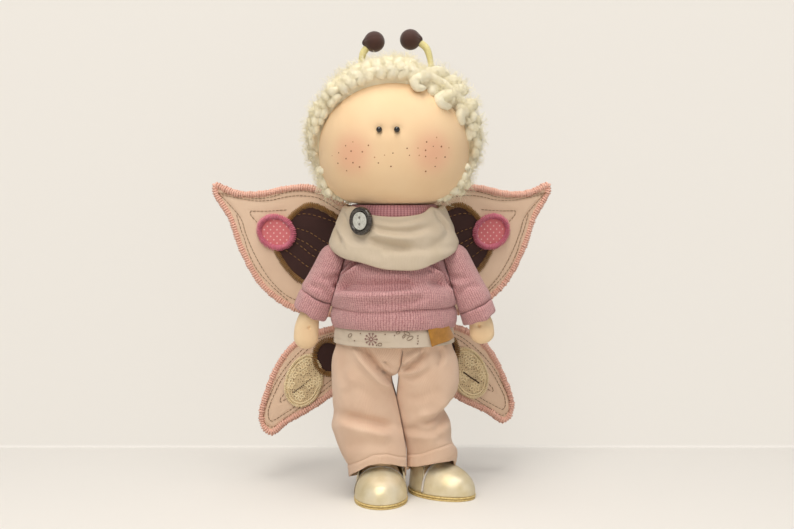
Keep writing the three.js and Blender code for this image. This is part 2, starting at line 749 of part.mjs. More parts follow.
function swung(geometry, side, angle) {
  const { outward, seat } = shoulderOf(side);
  const turn = new THREE.Quaternion().setFromAxisAngle(outward, -side * radians(angle));
  geometry.translate(-seat.x, -seat.y, -seat.z).applyQuaternion(turn);
  return solid(geometry.translate(seat.x, seat.y, seat.z));
}

function armSizes(side) {
  return side < 0 ? right_arm : left_arm;
}

function sleeveForm(side, grow, angle = 0) {
  const { sleeve_length } = armSizes(side);
  const rows = [
    [0, sleeve_radius],
    [sleeve_length * 0.35, sleeve_radius + 0.2],
    [sleeve_length * 0.7, sleeve_radius + 0.7],
    [sleeve_length * 0.9, sleeve_radius + 1],
    [sleeve_length, cuff_radius - 0.4],
  ].map(([distance, radius]) => [...armPoint(side, distance).toArray(), radius, radius]);
  const options = { count: 12, steps: 1, grow, tilted: true, dome_start: sleeve_radius };
  return swung(form(rows, options), side, angle);
}

function cuffForm(side, grow = 0, angle = 0) {
  const { sleeve_length, cuff_length } = armSizes(side);
  const start = sleeve_length + clearance;
  const rows = [[0, -0.8], [0.3, 0.3], [0.7, 0.2], [1, -1]].map(([share, swell]) => {
    const radius = cuff_radius + swell;
    return [...armPoint(side, start + cuff_length * share).toArray(), radius, radius];
  });
  return swung(form(rows, { count: 12, steps: 1, grow, tilted: true }), side, angle);
}

// The stuffed arm: a stub through the armhole, the arm in its sleeve, and a mitten hand that
// hangs straight down.
function armForm(side, grow) {
  const { outward, seat } = shoulderOf(side);
  const wrist = armPoint(side, arm_length);
  const { hand_length } = armSizes(side);
  const rows = [
    [...armPoint(side, 0).toArray(), upper_arm_radius, upper_arm_radius],
    [...armPoint(side, arm_length * 0.4).toArray(), upper_arm_radius + 0.3, upper_arm_radius + 0.3],
    [...armPoint(side, arm_length * 0.75).toArray(), upper_arm_radius + 0.4, upper_arm_radius + 0.2],
    [...wrist.toArray(), upper_arm_radius, upper_arm_radius - 0.2],
    [wrist.x + side * 1.6, 0, wrist.z - hand_length * 0.5, hand_half_width - 0.6, upper_arm_radius + 0.2],
    [wrist.x + side * 1.8, 0, wrist.z - hand_length * 0.85, hand_half_width, upper_arm_radius + 0.4],
  ];
  const options = { count: 10, steps: 1, grow, tilted: true, dome_start: upper_arm_radius, dome_end: 6 };
  const stub_radius = upper_arm_radius - 0.7 + grow;
  const stub_start = seat.clone().addScaledVector(outward, -arm_stub_overlap);
  const stub = bar(stub_radius, arm_standoff + arm_stub_overlap, stub_start, outward, 10);
  return solid(form(rows, options)).add(stub);
}

for (const [side_name, side] of [['right', -1], ['left', 1]]) {
  const { seat } = shoulderOf(side);
  const arm_body = pivotAt(doll, seat.x, seat.y, seat.z);
  const outside = beyondArmhole(side, clearance / 2);
  const over_arm = armForm(side, clearance);
  piece(arm_body, `arm_${side_name}`, 'skin', armForm(side, 0).intersect(outside));
  piece(arm_body, `sleeve_${side_name}`, 'knit',
    cut(sleeveForm(side, 0).intersect(outside), over_arm));
  piece(arm_body, `cuff_${side_name}`, 'knit', cut(cuffForm(side), over_arm).intersect(outside));
}

// The scarf gives way to the shoulders through the whole swing of the arms, and the button
// sinks a little into it.
const arm_sweep = [-1, 1].map((side) => [-arm_back, 0, arm_forward]
  .map((angle) => sleeveForm(side, 2 * clearance, angle).add(cuffForm(side, 2 * clearance, angle)))
  .reduce((all, sleeve) => all.add(sleeve)));
const button_draw = scarf_profile.find(([share]) => share === button_share)[1] + button_sink;
const button_seat = scarfPoint(Math.PI / 2 + radians(button_place), button_share, button_draw);
const button_normal = vector(-Math.sin(radians(button_azimuth)), -Math.cos(radians(button_azimuth)), 0);
const button_room = bar(button_radius + clearance, far, button_seat, button_normal, 20);
const scarf_tools = [over_sweater, over_trunk, over_collar, head_sweep, ...arm_sweep, button_room];
piece(doll, 'scarf', 'scarf', cut(scarfForm(), ...scarf_tools));

// A disc turned from a profile of [radius, height] points, set on the scarf.
function buttonDisc(profile, lift) {
  const turn = new THREE.Quaternion().setFromUnitVectors(vector(0, 1, 0), button_normal);
  const points = profile.map(([radius, height]) => new THREE.Vector2(radius, height));
  const geometry = new THREE.LatheGeometry(points, 16).applyQuaternion(turn);
  const seat = button_seat.clone().addScaledVector(button_normal, clearance + lift);
  return solid(geometry.translate(seat.x, seat.y, seat.z));
}
const pearl_recess = pearl_radius + clearance;
const recess_floor = button_thickness - pearl_thickness;
piece(doll, 'scarf_button_rim', 'horn', buttonDisc([
  [0, 0],
  [button_radius - 0.8, 0],
  [button_radius, 0.8],
  [button_radius, button_thickness - 0.9],
  [button_radius - 1, button_thickness],
  [pearl_recess, button_thickness - 0.4],
  [pearl_recess, recess_floor],
  [0, recess_floor],
], 0));
piece(doll, 'scarf_button_pearl', 'pearl', buttonDisc([
  [0, 0],
  [pearl_radius, 0],
  [pearl_radius, pearl_thickness - 0.5],
  [pearl_radius - 0.6, pearl_thickness - clearance],
  [0, pearl_thickness - clearance],
], recess_floor + clearance));

// The suede tag follows the undershirt, with its top edge under the sweater's hem.
const tag_outline = [
  [0, 1],
  [0.79, 1.22],
  [1.04, 0.46],
  [0.14, 0],
].map(([across, rise]) => new THREE.Vector2(
  tag_edge + across * tag_width,
  shirt_bottom + tag_rise + rise * tag_height,
));
const tag_window = solid(plate(tag_outline, far, -far / 2));
const tag_skin = garmentForm(shirt_rows, clearance + tag_thickness, { reach: clearance });
piece(doll, 'suede_tag', 'suede',
  cut(tag_skin.intersect(tag_window), over_shirt, above(band_bottom - clearance)));

// Head, turning on the neck, with bead eyes sunk into its face.
const head_body = pivotAt(doll, 0, 0, head_bottom);
const neck_room = bar(neck_radius + clearance, neck_in_head + clearance + 1,
  vector(0, 0, head_bottom - 1), up, 16);
const eyes = [['right', -1], ['left', 1]].map(([side_name, side]) => {
  const x = eye_offset + (side * eye_spacing) / 2;
  const level = Math.sqrt(1 - (eye_rise / crown_rise) ** 2);
  const reach = Math.sqrt(level ** 2 - (x / (head_width / 2)) ** 2);
  const y = -(head_depth / 2) * reach - eye_radius * 0.2;
  return { side_name, centre: vector(x, y, head_equator + eye_rise) };
});
const sockets = eyes.map(({ centre }) => ball(eye_radius + clearance, centre, 8));
for (const { side_name, centre } of eyes) {
  piece(head_body, `eye_${side_name}`, 'bead', ball(eye_radius, centre, 8));
}

// Hair: a cap behind the face, open along a slanted plane, and a thick-thin roll along its edge.
const hair_half_width = head_width / 2 + hair_thickness;
const hair_rise = crown_rise + hair_loft;
const hair_hem = head_bottom + hair_hem_rise;
const hairline = vector(0, -hairline_forward, head_equator + hairline_rise);
const hair_sizes = {
  half_width: hair_half_width,
  half_depth: head_depth / 2 + hair_thickness + 1,
  rise: hair_rise,
  drop: chin_drop + chin_tuck + hair_hem_rise,
  fullness: 2.6,
  z: head_equator,
};
const hair_form = solid(curly(hair_sizes, curl_spacing, curl_swell, curl_height));
const before_hairline = solid(new THREE.BoxGeometry(far, far, far)
  .translate(0, -far / 2, 0)
  .rotateX(radians(hairline_tilt))
  .translate(hairline.x, hairline.y, hairline.z));

function fringeForm(grow) {
  const count = 2 * fringe_lumps;
  const lean = radians(hairline_tilt);
  const rows = Array.from({ length: count + 1 }, (_, index) => {
    const angle = radians(-132 + (264 * index) / count);
    const rise = (crown_rise + fringe_standoff) * Math.cos(angle) * (Math.cos(angle) > 0 ? 1 : 0.95);
    const radius = (fringe_radius - 0.9 * Math.sin(angle) ** 2) * (1 - fringe_unevenness * (-1) ** index);
    return [
      (head_width / 2 + fringe_standoff) * Math.sin(angle),
      hairline.y - rise * Math.sin(lean),
      hairline.z + rise * Math.cos(lean),
      radius,
      radius,
    ];
  });
  return solid(form(rows, { count: 7, steps: 1, grow, tilted: true, dome_start: 3, dome_end: 3 }));
}

// Antennae: the pivot of each lies just under the hair's surface.
const antennae = [
  { side_name: 'right', side: -1, ...right_antenna },
  { side_name: 'left', side: 1, ...left_antenna },
].map((antenna) => {
  const surface = hair_rise * Math.sqrt(1 - (antenna.spread / hair_half_width) ** 2);
  const pivot = vector(antenna.side * antenna.spread, 0, head_equator - 1 + surface);
  const root_top = pivot.z - stem_radius - clearance;
  return { ...antenna, pivot, root: vector(pivot.x, 0, root_top - antenna_root_length) };
});
const root_holes = antennae.map(({ root }) => (
  bar(antenna_root_radius + clearance, antenna_root_length + 2, root, up, 8)));
const stem_room = stem_radius + clearance + 3 * Math.tan(radians(2 * antenna_bend));
const stem_holes = antennae.map(({ pivot }) => (
  bar(stem_room, far, pivot.clone().setZ(pivot.z - stem_radius - clearance), up, 10)));
const over_head = headForm(clearance);
const face_side = [over_head, below(hair_hem)];

piece(head_body, 'head', 'skin',
  cut(headForm(0), below(head_bottom), neck_room, ...sockets, ...root_holes));
piece(head_body, 'hair_fringe', 'wool', cut(fringeForm(0), ...face_side));
piece(head_body, 'hair_cap', 'wool', cut(
  hair_form,
  before_hairline,
  fringeForm(clearance),
  ...face_side,
  ...root_holes,
  ...stem_holes,
));

for (const { side_name, side, pivot, root, reach, rise } of antennae) {
  const antenna_body = pivotAt(head_body, pivot.x, pivot.y, pivot.z);
  const ball_centre = vector(-side * reach, 0, rise);
  const elbow = vector(-side * reach * 0.24, 0, rise * 0.66);
  const toward_ball = ball_centre.clone().sub(elbow).normalize();
  const tip = ball_centre.clone().addScaledVector(toward_ball, -antenna_ball_radius - clearance);
  const rows = [
    [...tip.toArray(), stem_tip_radius, stem_tip_radius],
    [...elbow.toArray(), stem_tip_radius, stem_tip_radius],
    [-side * reach * 0.04, 0, rise * 0.36, stem_radius + 0.2, stem_radius + 0.2],
    [0, 0, 0, stem_radius, stem_radius],
  ];
  const placed = (geometry) => solid(geometry.translate(pivot.x, pivot.y, pivot.z));
  const stem = form(rows, { count: 7, tilted: true, dome_end: stem_radius });
  const sphere = new THREE.SphereGeometry(antenna_ball_radius, 10, 8);
  piece(head_body, `antenna_root_${side_name}`, 'bead',
    bar(antenna_root_radius, antenna_root_length, root, up, 8));
  piece(antenna_body, `antenna_stem_${side_name}`, 'stem', placed(stem));
  piece(antenna_body, `antenna_ball_${side_name}`, 'chocolate',
    placed(sphere.translate(...ball_centre.toArray())));
}

// Wing outlines as closed curves of points [reach from the middle of the back, rise over the
// sweater's hem].
const wing_root = wing_hinge_spread + wing_hinge_inset;
const upper_wing = [
  [wing_root, 57], [14, 63], [30, 74], [46, 81.4], [62, 81], [78, 77.8], [93.5, 77.9],
  [109.3, 83], [109.5, 77], [99.8, 61], [92.6, 41.5], [79, 19], [60, 5.5], [38, 1],
  [14, 7], [wing_root, 13],
];
const lower_wing = [
  [wing_root, 6], [16, 0.5], [34, -3.5], [50, -8], [61, -15], [70.5, -26.6], [78.8, -44.2],
  [83, -59.5], [80.8, -67.5], [75, -70.7], [65.5, -64], [49.3, -55.2], [33.6, -44.7], [18, -29],
  [8, -13], [wing_root, -5],
];
const dark_patch = [
  [21, 56], [33, 65.8], [46.6, 71], [56, 66.8], [66, 55], [70.4, 45], [66.4, 35],
  [54.2, 22.2], [38, 18], [22, 27], [17, 42],
];
const lace_patch = [
  [47, -20.5], [56, -23], [63, -32], [65.2, -43], [62, -50.5], [55, -53], [46.5, -49], [41, -39], [41, -28],
];
const pink_oval = { reach: 68.1, height: 52.8, half_long: 12.8, half_short: 10.9, turn: 20 };
const dark_spot = { reach: 35.6, height: -22.2, half_long: 12, half_short: 10.9, turn: 90 };

// A closed smooth curve through hand-set points, with the part next to the hinge kept straight.
function smooth(points) {
  const nodes = points.map(([x, z]) => vector(x, z, 0));
  const curve = new THREE.CatmullRomCurve3(nodes, true, 'centripetal');
  const spots = curve.getPoints(points.length * 2).slice(0, -1);
  return spots.map(({ x, y }) => new THREE.Vector2(Math.max(x, wing_root), y + band_bottom));
}

function oval({ reach, height, half_long, half_short, turn }, grow = 0) {
  const curve = new THREE.EllipseCurve(reach, height + band_bottom, half_long + grow,
    half_short + grow, 0, 2 * Math.PI, false, radians(turn));
  return curve.getPoints(20).slice(0, -1);
}

// The outline moved inwards by a distance. Points that would fold over at a tip are left out.
function inset(points, distance) {
  const loop = THREE.ShapeUtils.isClockWise(points) ? points.slice().reverse() : points;
  const at = (index) => loop[(index + loop.length) % loop.length];
  const gap = (point) => Math.min(...loop.map((start, index) => {
    const edge = at(index + 1).clone().sub(start);
    const offset = point.clone().sub(start);
    const share = THREE.MathUtils.clamp(offset.dot(edge) / edge.lengthSq(), 0, 1);
    return offset.addScaledVector(edge, -share).length();
  }));
  return loop.map((point, index) => {
    const before = point.clone().sub(at(index - 1)).normalize();
    const after = at(index + 1).clone().sub(point).normalize();
    const inward = new THREE.Vector2(-before.y - after.y, before.x + after.x).normalize();
    const spread = inward.dot(new THREE.Vector2(-before.y, before.x));
    return point.clone().addScaledVector(inward, distance / Math.max(spread, 0.3));
  }).filter((point) => gap(point) > distance - 0.05);
}

function turned(points, angle, about) {
  return points.map((point) => point.clone().rotateAround(about, radians(angle)));
}

const wing_y = scarf_half_depth + wing_mount.behind_scarf;
for (const [side_name, side] of [['right', -1], ['left', 1]]) {
  const yaw = radians(wing_mount.yaw + side * wing_sweep);
  const mount_turn = radians(wing_mount.yaw);
  const hinge = vector(side * wing_hinge_spread, 0, 0).applyAxisAngle(up, mount_turn);
  const wing_body = pivotAt(doll, wing_mount.x + hinge.x, wing_y + hinge.y, 0);
  const hinge_point = wing_body.userData.origin;
  const droop_pivot = new THREE.Vector2(wing_hinge_spread, band_bottom);
  const hung = (geometry) => solid(geometry
    .rotateZ(yaw)
    .translate(hinge_point.x, hinge_point.y, 0));
  const flat = (points) => points.map(({ x, y }) => (
    new THREE.Vector2(side * (x - wing_hinge_spread), y)));
  const slab = (points, thickness, y = 0, hole = null) => (
    hung(plate(flat(points), thickness, y, hole && flat(hole))));
  const patch_y = -wing_thickness / 2 - clearance - patch_thickness / 2;
  const patch = (points) => slab(points, patch_thickness, patch_y);
  const around = (points) => slab(points, wing_thickness, patch_y);

  const drooped = (points) => turned(points, side * lower_wing_droop, droop_pivot);
  const outlines = {
    upper: smooth(upper_wing),
    lower: drooped(smooth(lower_wing)).map(({ x, y }) => new THREE.Vector2(Math.max(x, wing_root), y)),
  };
  for (const [level, outline] of Object.entries(outlines)) {
    const root_edge = outline.filter(({ x }) => x < wing_root + 0.5).map(({ y }) => y);
    const root_length = Math.max(...root_edge) - Math.min(...root_edge);
    const rod = bar(edging_thickness / 2, root_length, vector(hinge_point.x, hinge_point.y,
      Math.min(...root_edge)), up, 10);
    const opening = inset(outline, edging_width);
    const rim = slab(outline, edging_thickness, 0, opening);
    piece(wing_body, `wing_${level}_edging_${side_name}`, 'edging', rim.add(rod));
    piece(wing_body, `wing_${level}_panel_${side_name}`, 'wing',
      slab(inset(opening, clearance), wing_thickness));
  }
  const pink = patch(oval(pink_oval));
  const spot = patch(drooped(oval(dark_spot)));
  piece(wing_body, `wing_pink_patch_${side_name}`, 'pink', pink);
  piece(wing_body, `wing_dark_patch_${side_name}`, 'chocolate',
    cut(patch(smooth(dark_patch)), around(oval(pink_oval, clearance))));
  piece(wing_body, `wing_dark_spot_${side_name}`, 'chocolate', spot);
  piece(wing_body, `wing_lace_patch_${side_name}`, 'lace',
    cut(patch(drooped(smooth(lace_patch))), around(drooped(oval(dark_spot, clearance)))));
}

// The padded strip between the wings, shaped to the sweater and the scarf in front of it.
const strip_half_width = wing_hinge_spread - edging_thickness / 2 - clearance;
const strip_bottom = band_bottom - strip_drop;
const strip_box = new THREE.BoxGeometry(2 * strip_half_width, strip_depth, strip_height)
  .translate(0, edging_thickness / 2 - strip_depth / 2, strip_bottom + strip_height / 2)
  .rotateZ(radians(wing_mount.yaw))
  .translate(wing_mount.x, wing_y, 0);
piece(doll, 'wing_strip', 'wing', cut(
  solid(strip_box),
  over_sweater,
  garmentForm(band_rows, clearance, { reach: clearance }),
  over_shirt,
  over_trousers,
  over_trunk,
  withinScarf(2 * clearance),
));

// The origin is the middle of the doll's footprint box, on the floor.
doll.updateMatrixWorld(true);
const bounds = new THREE.Box3().setFromObject(doll);
doll.position.set(-(bounds.min.x + bounds.max.x) / 2, -(bounds.min.y + bounds.max.y) / 2, -bounds.min.z);

export default doll;
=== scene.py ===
import math

import bmesh
import bpy
import numpy as np
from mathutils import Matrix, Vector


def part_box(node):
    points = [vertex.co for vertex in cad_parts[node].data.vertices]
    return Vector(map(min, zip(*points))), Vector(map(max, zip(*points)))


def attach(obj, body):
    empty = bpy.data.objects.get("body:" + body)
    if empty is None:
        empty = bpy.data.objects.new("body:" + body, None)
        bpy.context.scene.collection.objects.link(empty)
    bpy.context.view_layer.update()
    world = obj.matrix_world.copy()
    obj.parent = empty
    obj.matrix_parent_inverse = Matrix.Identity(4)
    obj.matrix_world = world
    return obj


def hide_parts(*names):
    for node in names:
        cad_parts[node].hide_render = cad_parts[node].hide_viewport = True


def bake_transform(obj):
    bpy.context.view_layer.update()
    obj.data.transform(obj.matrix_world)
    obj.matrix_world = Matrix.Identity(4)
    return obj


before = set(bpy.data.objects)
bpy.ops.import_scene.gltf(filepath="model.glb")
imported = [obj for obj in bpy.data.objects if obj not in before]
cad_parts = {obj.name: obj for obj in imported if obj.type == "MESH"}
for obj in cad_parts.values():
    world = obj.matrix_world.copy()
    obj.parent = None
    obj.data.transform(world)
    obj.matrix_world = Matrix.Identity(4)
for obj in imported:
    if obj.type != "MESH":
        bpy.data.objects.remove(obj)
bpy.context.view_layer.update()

# The photograph's place: a white table top that meets a white wall behind the doll, soft lamps,
# and a camera that looks down a little from the front. The wall is clear when seen from behind.


def paint(red, green, blue):
    """An sRGB colour from 0 to 255 as a linear one."""
    channels = [value / 255 for value in (red, green, blue)]
    return [c / 12.92 if c < 0.04045 else ((c + 0.055) / 1.055) ** 2.4 for c in channels] + [1.0]


def fill(made, **sockets):
    """Links or sets a node's inputs. Base_Color fills the socket Base Color, and _0 the first one. A
    node given as a value stands for its first output."""
    for key, value in sockets.items():
        socket = made.inputs[int(key[1:]) if key[1:].isdigit() else key.replace("_", " ")]
        value = value.outputs[0] if isinstance(value, bpy.types.Node) else value
        if isinstance(value, bpy.types.NodeSocket):
            made.id_data.links.new(value, socket)
        else:
            socket.default_value = value
    return made


def node(tree, kind, settings=None, **sockets):
    made = tree.nodes.new(kind)
    for key, value in (settings or {}).items():
        setattr(made, key, value)
    return fill(made, **sockets)


def calc(tree, operation, *values):
    inputs = {f"_{index}": value for index, value in enumerate(values)}
    return node(tree, "ShaderNodeMath", {"operation": operation}, **inputs).outputs[0]


def ranged(tree, value, **ends):
    return node(tree, "ShaderNodeMapRange", Value=value, **ends).outputs["Result"]


def mixed(tree, share, first, second):
    return node(tree, "ShaderNodeMix", {"data_type": "RGBA"}, _0=share, _6=first, _7=second).outputs[2]


def new_finish(name):
    """A new material, its node tree, its Principled surface and its texture coordinates."""
    material = bpy.data.materials.new(name)
    material.use_nodes = True
    tree = material.node_tree
    return material, tree, tree.nodes["Principled BSDF"], node(tree, "ShaderNodeTexCoord").outputs


def placed(name, data):
    """A new object in the scene."""
    made = bpy.data.objects.new(name, data)
    bpy.context.scene.collection.objects.link(made)
    return made


stage_depth, stage_bend, stage_reach = 0.126, 0.002, 1.6
bend_start = stage_depth - stage_bend
profile = [(-stage_reach, 0.0), (bend_start, 0.0)]
profile += [(bend_start + stage_bend * math.sin(turn), stage_bend - stage_bend * math.cos(turn))
            for turn in np.radians([18, 36, 54, 72, 90])]
profile += [(stage_depth, stage_reach)]
stage_mesh = bpy.data.meshes.new("studio_sweep")
stage_mesh.from_pydata([(x, y, z) for y, z in profile for x in (-2.0, 2.0)], [],
                       [(2 * i, 2 * i + 1, 2 * i + 3, 2 * i + 2) for i in range(len(profile) - 1)])
stage_object = placed("studio_sweep", stage_mesh)
stage_white, tree, surface, where = new_finish("table and wall white")
height = node(tree, "ShaderNodeSeparateXYZ", Vector=where["Object"]).outputs["Z"]
rise = ranged(tree, height, From_Min=0.0, From_Max=stage_bend)
seen = node(tree, "ShaderNodeLightPath").outputs["Is Camera Ray"]
behind = node(tree, "ShaderNodeNewGeometry").outputs["Backfacing"]
fill(surface, Base_Color=mixed(tree, rise, paint(219, 216, 211), paint(132, 129, 125)),
     Emission_Color=mixed(tree, rise, paint(238, 234, 228), paint(245, 239, 229)),
     Emission_Strength=calc(tree, "MULTIPLY", seen, ranged(tree, rise, To_Min=0.16, To_Max=0.69)),
     Alpha=calc(tree, "SUBTRACT", 1.0, behind), Roughness=0.75, Specular_IOR_Level=0.2)
stage_mesh.materials.append(stage_white)

world = bpy.data.worlds.new("soft white room")
world.use_nodes = True
tree = world.node_tree
in_view = node(tree, "ShaderNodeLightPath").outputs["Is Camera Ray"]
fill(tree.nodes["Background"], Color=paint(255, 252, 248),
     Strength=ranged(tree, in_view, To_Min=0.34, To_Max=0.84))
bpy.context.scene.world = world
lamp_aim = np.array([0.0, 0.0, 0.14])
for name, spot, size, watts, colour in [
    ("key lamp", (-0.4, -1.25, 1.4), 0.9, 13.4, paint(255, 250, 243)),
    ("top lamp", (0.0, -0.25, 1.5), 0.8, 13.0, paint(255, 251, 245)),
    ("fill lamp", (1.1, -1.1, 0.4), 1.0, 2.0, paint(252, 250, 255)),
]:
    lamp = bpy.data.lights.new(name, "AREA")
    lamp.size, lamp.energy, lamp.color = size, watts, colour[:3]
    holder = placed(name, lamp)
    holder.location = spot
    aim = lamp_aim - spot
    holder.rotation_euler = (math.acos(-aim[2] / np.linalg.norm(aim)), 0, math.atan2(-aim[0], aim[1]))

lens = bpy.data.cameras.new("camera")
lens.lens, lens.sensor_width, lens.clip_start = 58.63, 36.0, 0.01
camera = placed("camera", lens)
camera.location = (0.00864, -0.765845, 0.185)
camera.rotation_euler = (math.radians(86.314), 0, 0)
bpy.context.scene.camera = camera
bpy.context.scene.view_settings.view_transform = "Standard"

# The trunk, with its neck, and the legs: peach jersey stuffed with fibrefill, worn under the
# clothes. The legs sit in the hips and end in feet that fill the shoes.
low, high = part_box("torso")
doll_middle = np.array([(low.x + high.x) / 2, (low.y + high.y) / 2, 0.0])


def at(points):
    """Millimetres in the doll's own frame, standing on z = 0 and facing -Y, as metres in the row's."""
    return np.asarray(points, float) / 1000 + doll_middle


def eased(rows, count, closed=False):
    """Rows of numbers resampled along a smooth curve through them."""
    rows = np.asarray(rows, float)
    ends = (rows[-1:], rows[:2]) if closed else (2 * rows[:1] - rows[1:2], 2 * rows[-1:] - rows[-2:-1])
    knots = np.vstack([ends[0], rows, ends[1]])
    pace = np.maximum(np.linalg.norm(np.diff(knots, axis=0), axis=1), 1e-6) ** 0.5
    when = np.concatenate([[0], np.cumsum(pace)])
    spans = len(rows) if closed else len(rows) - 1
    places = np.linspace(0, spans, count, endpoint=not closed)
    first = np.minimum(places.astype(int), spans - 1)
    t0, t1, t2, t3 = (when[first + step][:, None] for step in range(4))
    p0, p1, p2, p3 = (knots[first + step] for step in range(4))
    t = t1 + (places - first)[:, None] * (t2 - t1)
    a1 = (t1 - t) / (t1 - t0) * p0 + (t - t0) / (t1 - t0) * p1
    a2 = (t2 - t) / (t2 - t1) * p1 + (t - t1) / (t2 - t1) * p2
    a3 = (t3 - t) / (t3 - t2) * p2 + (t - t2) / (t3 - t2) * p3
    b1 = (t2 - t) / (t2 - t0) * a1 + (t - t0) / (t2 - t0) * a2
    b2 = (t3 - t) / (t3 - t1) * a2 + (t - t1) / (t3 - t1) * a3
    return (t2 - t) / (t2 - t1) * b1 + (t - t1) / (t2 - t1) * b2


def round_turns(count):
    """The angles of points spaced evenly round a ring."""
    return 2 * math.pi * np.arange(count) / count


def unit_rows(vectors):
    return vectors / np.linalg.norm(vectors, axis=1)[:, None]


def loft(rows, count, columns, squareness=2.0, domes=(0, 0), tilted=False):
    """Rings along rows of [x, y, z, half width, half depth], from the top down. Their columns start
    at the back and run round by the doll's right, the front and its left."""
    rows = eased(rows, count)
    spine, sizes = rows[:, :3], rows[:, 3:5]
    along = np.gradient(spine, axis=0) * [1, 0, 1] if tilted else np.tile([0, 0, -1.0], (count, 1))
    along = unit_rows(along)
    scale = np.ones(count)
    steps = np.radians([82, 70, 56, 42, 28, 14])
    for end, dome in ((0, domes[0]), (-1, domes[1])):
        if dome:
            order = steps if end == 0 else steps[::-1]
            caps = spine[end] + along[end] * (np.sin(order) * (-dome if end == 0 else dome))[:, None]
            pack = (lambda new, old: [new, old]) if end == 0 else (lambda new, old: [old, new])
            spine = np.vstack(pack(caps, spine))
            sizes = np.vstack(pack(np.tile(sizes[end], (6, 1)), sizes))
            along = np.vstack(pack(np.tile(along[end], (6, 1)), along))
            scale = np.concatenate(pack(np.cos(order), scale))
    across = unit_rows(np.cross([0, -1.0, 0], along))
    round_angle = -math.pi + round_turns(columns)
    bend = lambda value: np.sign(value) * np.abs(value) ** (2 / squareness)
    side = bend(np.sin(round_angle))[None, :, None] * (sizes[:, 0] * scale)[:, None, None]
    depth = bend(np.cos(round_angle))[None, :, None] * (sizes[:, 1] * scale)[:, None, None]
    return spine[:, None, :] + side * across[:, None, :] + depth * np.array([0, -1.0, 0])


def out_of(rings):
    """Each point's own outward direction."""
    around = np.roll(rings, -1, 1) - np.roll(rings, 1, 1)
    out = np.cross(np.gradient(rings, axis=0), around)
    return out / np.maximum(np.linalg.norm(out, axis=2), 1e-9)[..., None]


def pushed(rings, distance):
    return rings + out_of(rings) * np.broadcast_to(distance, rings.shape[:2])[..., None]


def skin_of(rings, hoop):
    """The points, faces and face corners' UVs of one closed skin over a stack of rings."""
    rings = np.asarray(rings, float)
    rows, columns = rings.shape[:2]
    bands = rows if hoop else rows - 1
    here = np.arange(bands)[:, None] * columns + np.arange(columns)
    there = (np.arange(bands)[:, None] + 1) % rows * columns + np.arange(columns)
    quads = np.stack([here, np.roll(here, -1, 1), np.roll(there, -1, 1), there], axis=2).reshape(-1, 4)
    girth = np.linalg.norm(np.roll(rings, -1, 1) - rings, axis=2).sum(1).max()
    run = np.concatenate([[0], np.cumsum(np.linalg.norm(np.diff(rings, axis=0), axis=2).mean(1))])
    run = np.append(run, run[-1] + 1)
    u = np.arange(columns + 1) / columns * girth / 1000
    left, top = np.meshgrid(np.arange(columns), np.arange(bands))
    uvs = np.stack([np.stack([u[left + du], run[top + dv] / 1000], axis=2)
                    for du, dv in ((0, 0), (1, 0), (1, 1), (0, 1))], axis=2).reshape(-1, 2)
    points, faces = rings.reshape(-1, 3), quads.tolist()
    if not hoop:
        for row, flip in ((0, False), (rows - 1, True)):
            points = np.vstack([points, rings[row].mean(0)])
            ring = row * columns + np.arange(columns)
            fan = np.stack([np.full(columns, len(points) - 1), np.roll(ring, -1), ring], axis=1)
            faces += (fan[:, ::-1] if flip else fan).tolist()
            uvs = np.vstack([uvs, np.tile([[0.0, run[row] / 1000]], (3 * columns, 1))])
    return points, faces, uvs


def skin(name, stacks, material, hoop=False):
    """Closed skins over one or more stacks of rings in millimetres, as one piece. A hoop joins its
    last ring to its first; otherwise each end closes on its middle. The UV map is in metres."""
    stacks = stacks if isinstance(stacks, list) else [stacks]
    points, faces, uvs, start = [], [], [], 0
    for rings in stacks:
        some_points, some_faces, some_uvs = skin_of(rings, hoop)
        points.append(some_points)
        faces += [[corner + start for corner in face] for face in some_faces] if start else some_faces
        uvs.append(some_uvs)
        start += len(some_points)
    mesh = bpy.data.meshes.new(name)
    mesh.from_pydata(at(np.vstack(points)).tolist(), [], faces)
    mesh.uv_layers.new(name="cloth").data.foreach_set("uv", np.vstack(uvs).ravel())
    return piece(name, mesh, material)


def piece(name, mesh, material):
    """A finished mesh as a piece of the doll, smooth, with its faces outwards."""
    work = bmesh.new()
    work.from_mesh(mesh)
    bmesh.ops.recalc_face_normals(work, faces=work.faces)
    work.to_mesh(mesh)
    work.free()
    mesh.shade_smooth()
    if material:
        mesh.materials.append(material)
    return placed(name, mesh)


def new_group(name, inputs, outputs, kind="ShaderNodeTree"):
    """A node group with named sockets: inputs as {name: (socket type, value)}, outputs as {name: type}."""
    group = bpy.data.node_groups.new(name, kind)
    for title, (socket, value) in inputs.items():
        made = group.interface.new_socket(title, in_out="INPUT", socket_type="NodeSocket" + socket)
        if value is not None:
            made.default_value = value
    for title, socket in outputs.items():
        group.interface.new_socket(title, in_out="OUTPUT", socket_type="NodeSocket" + socket)
    return group, group.nodes.new("NodeGroupInput").outputs, group.nodes.new("NodeGroupOutput").inputs


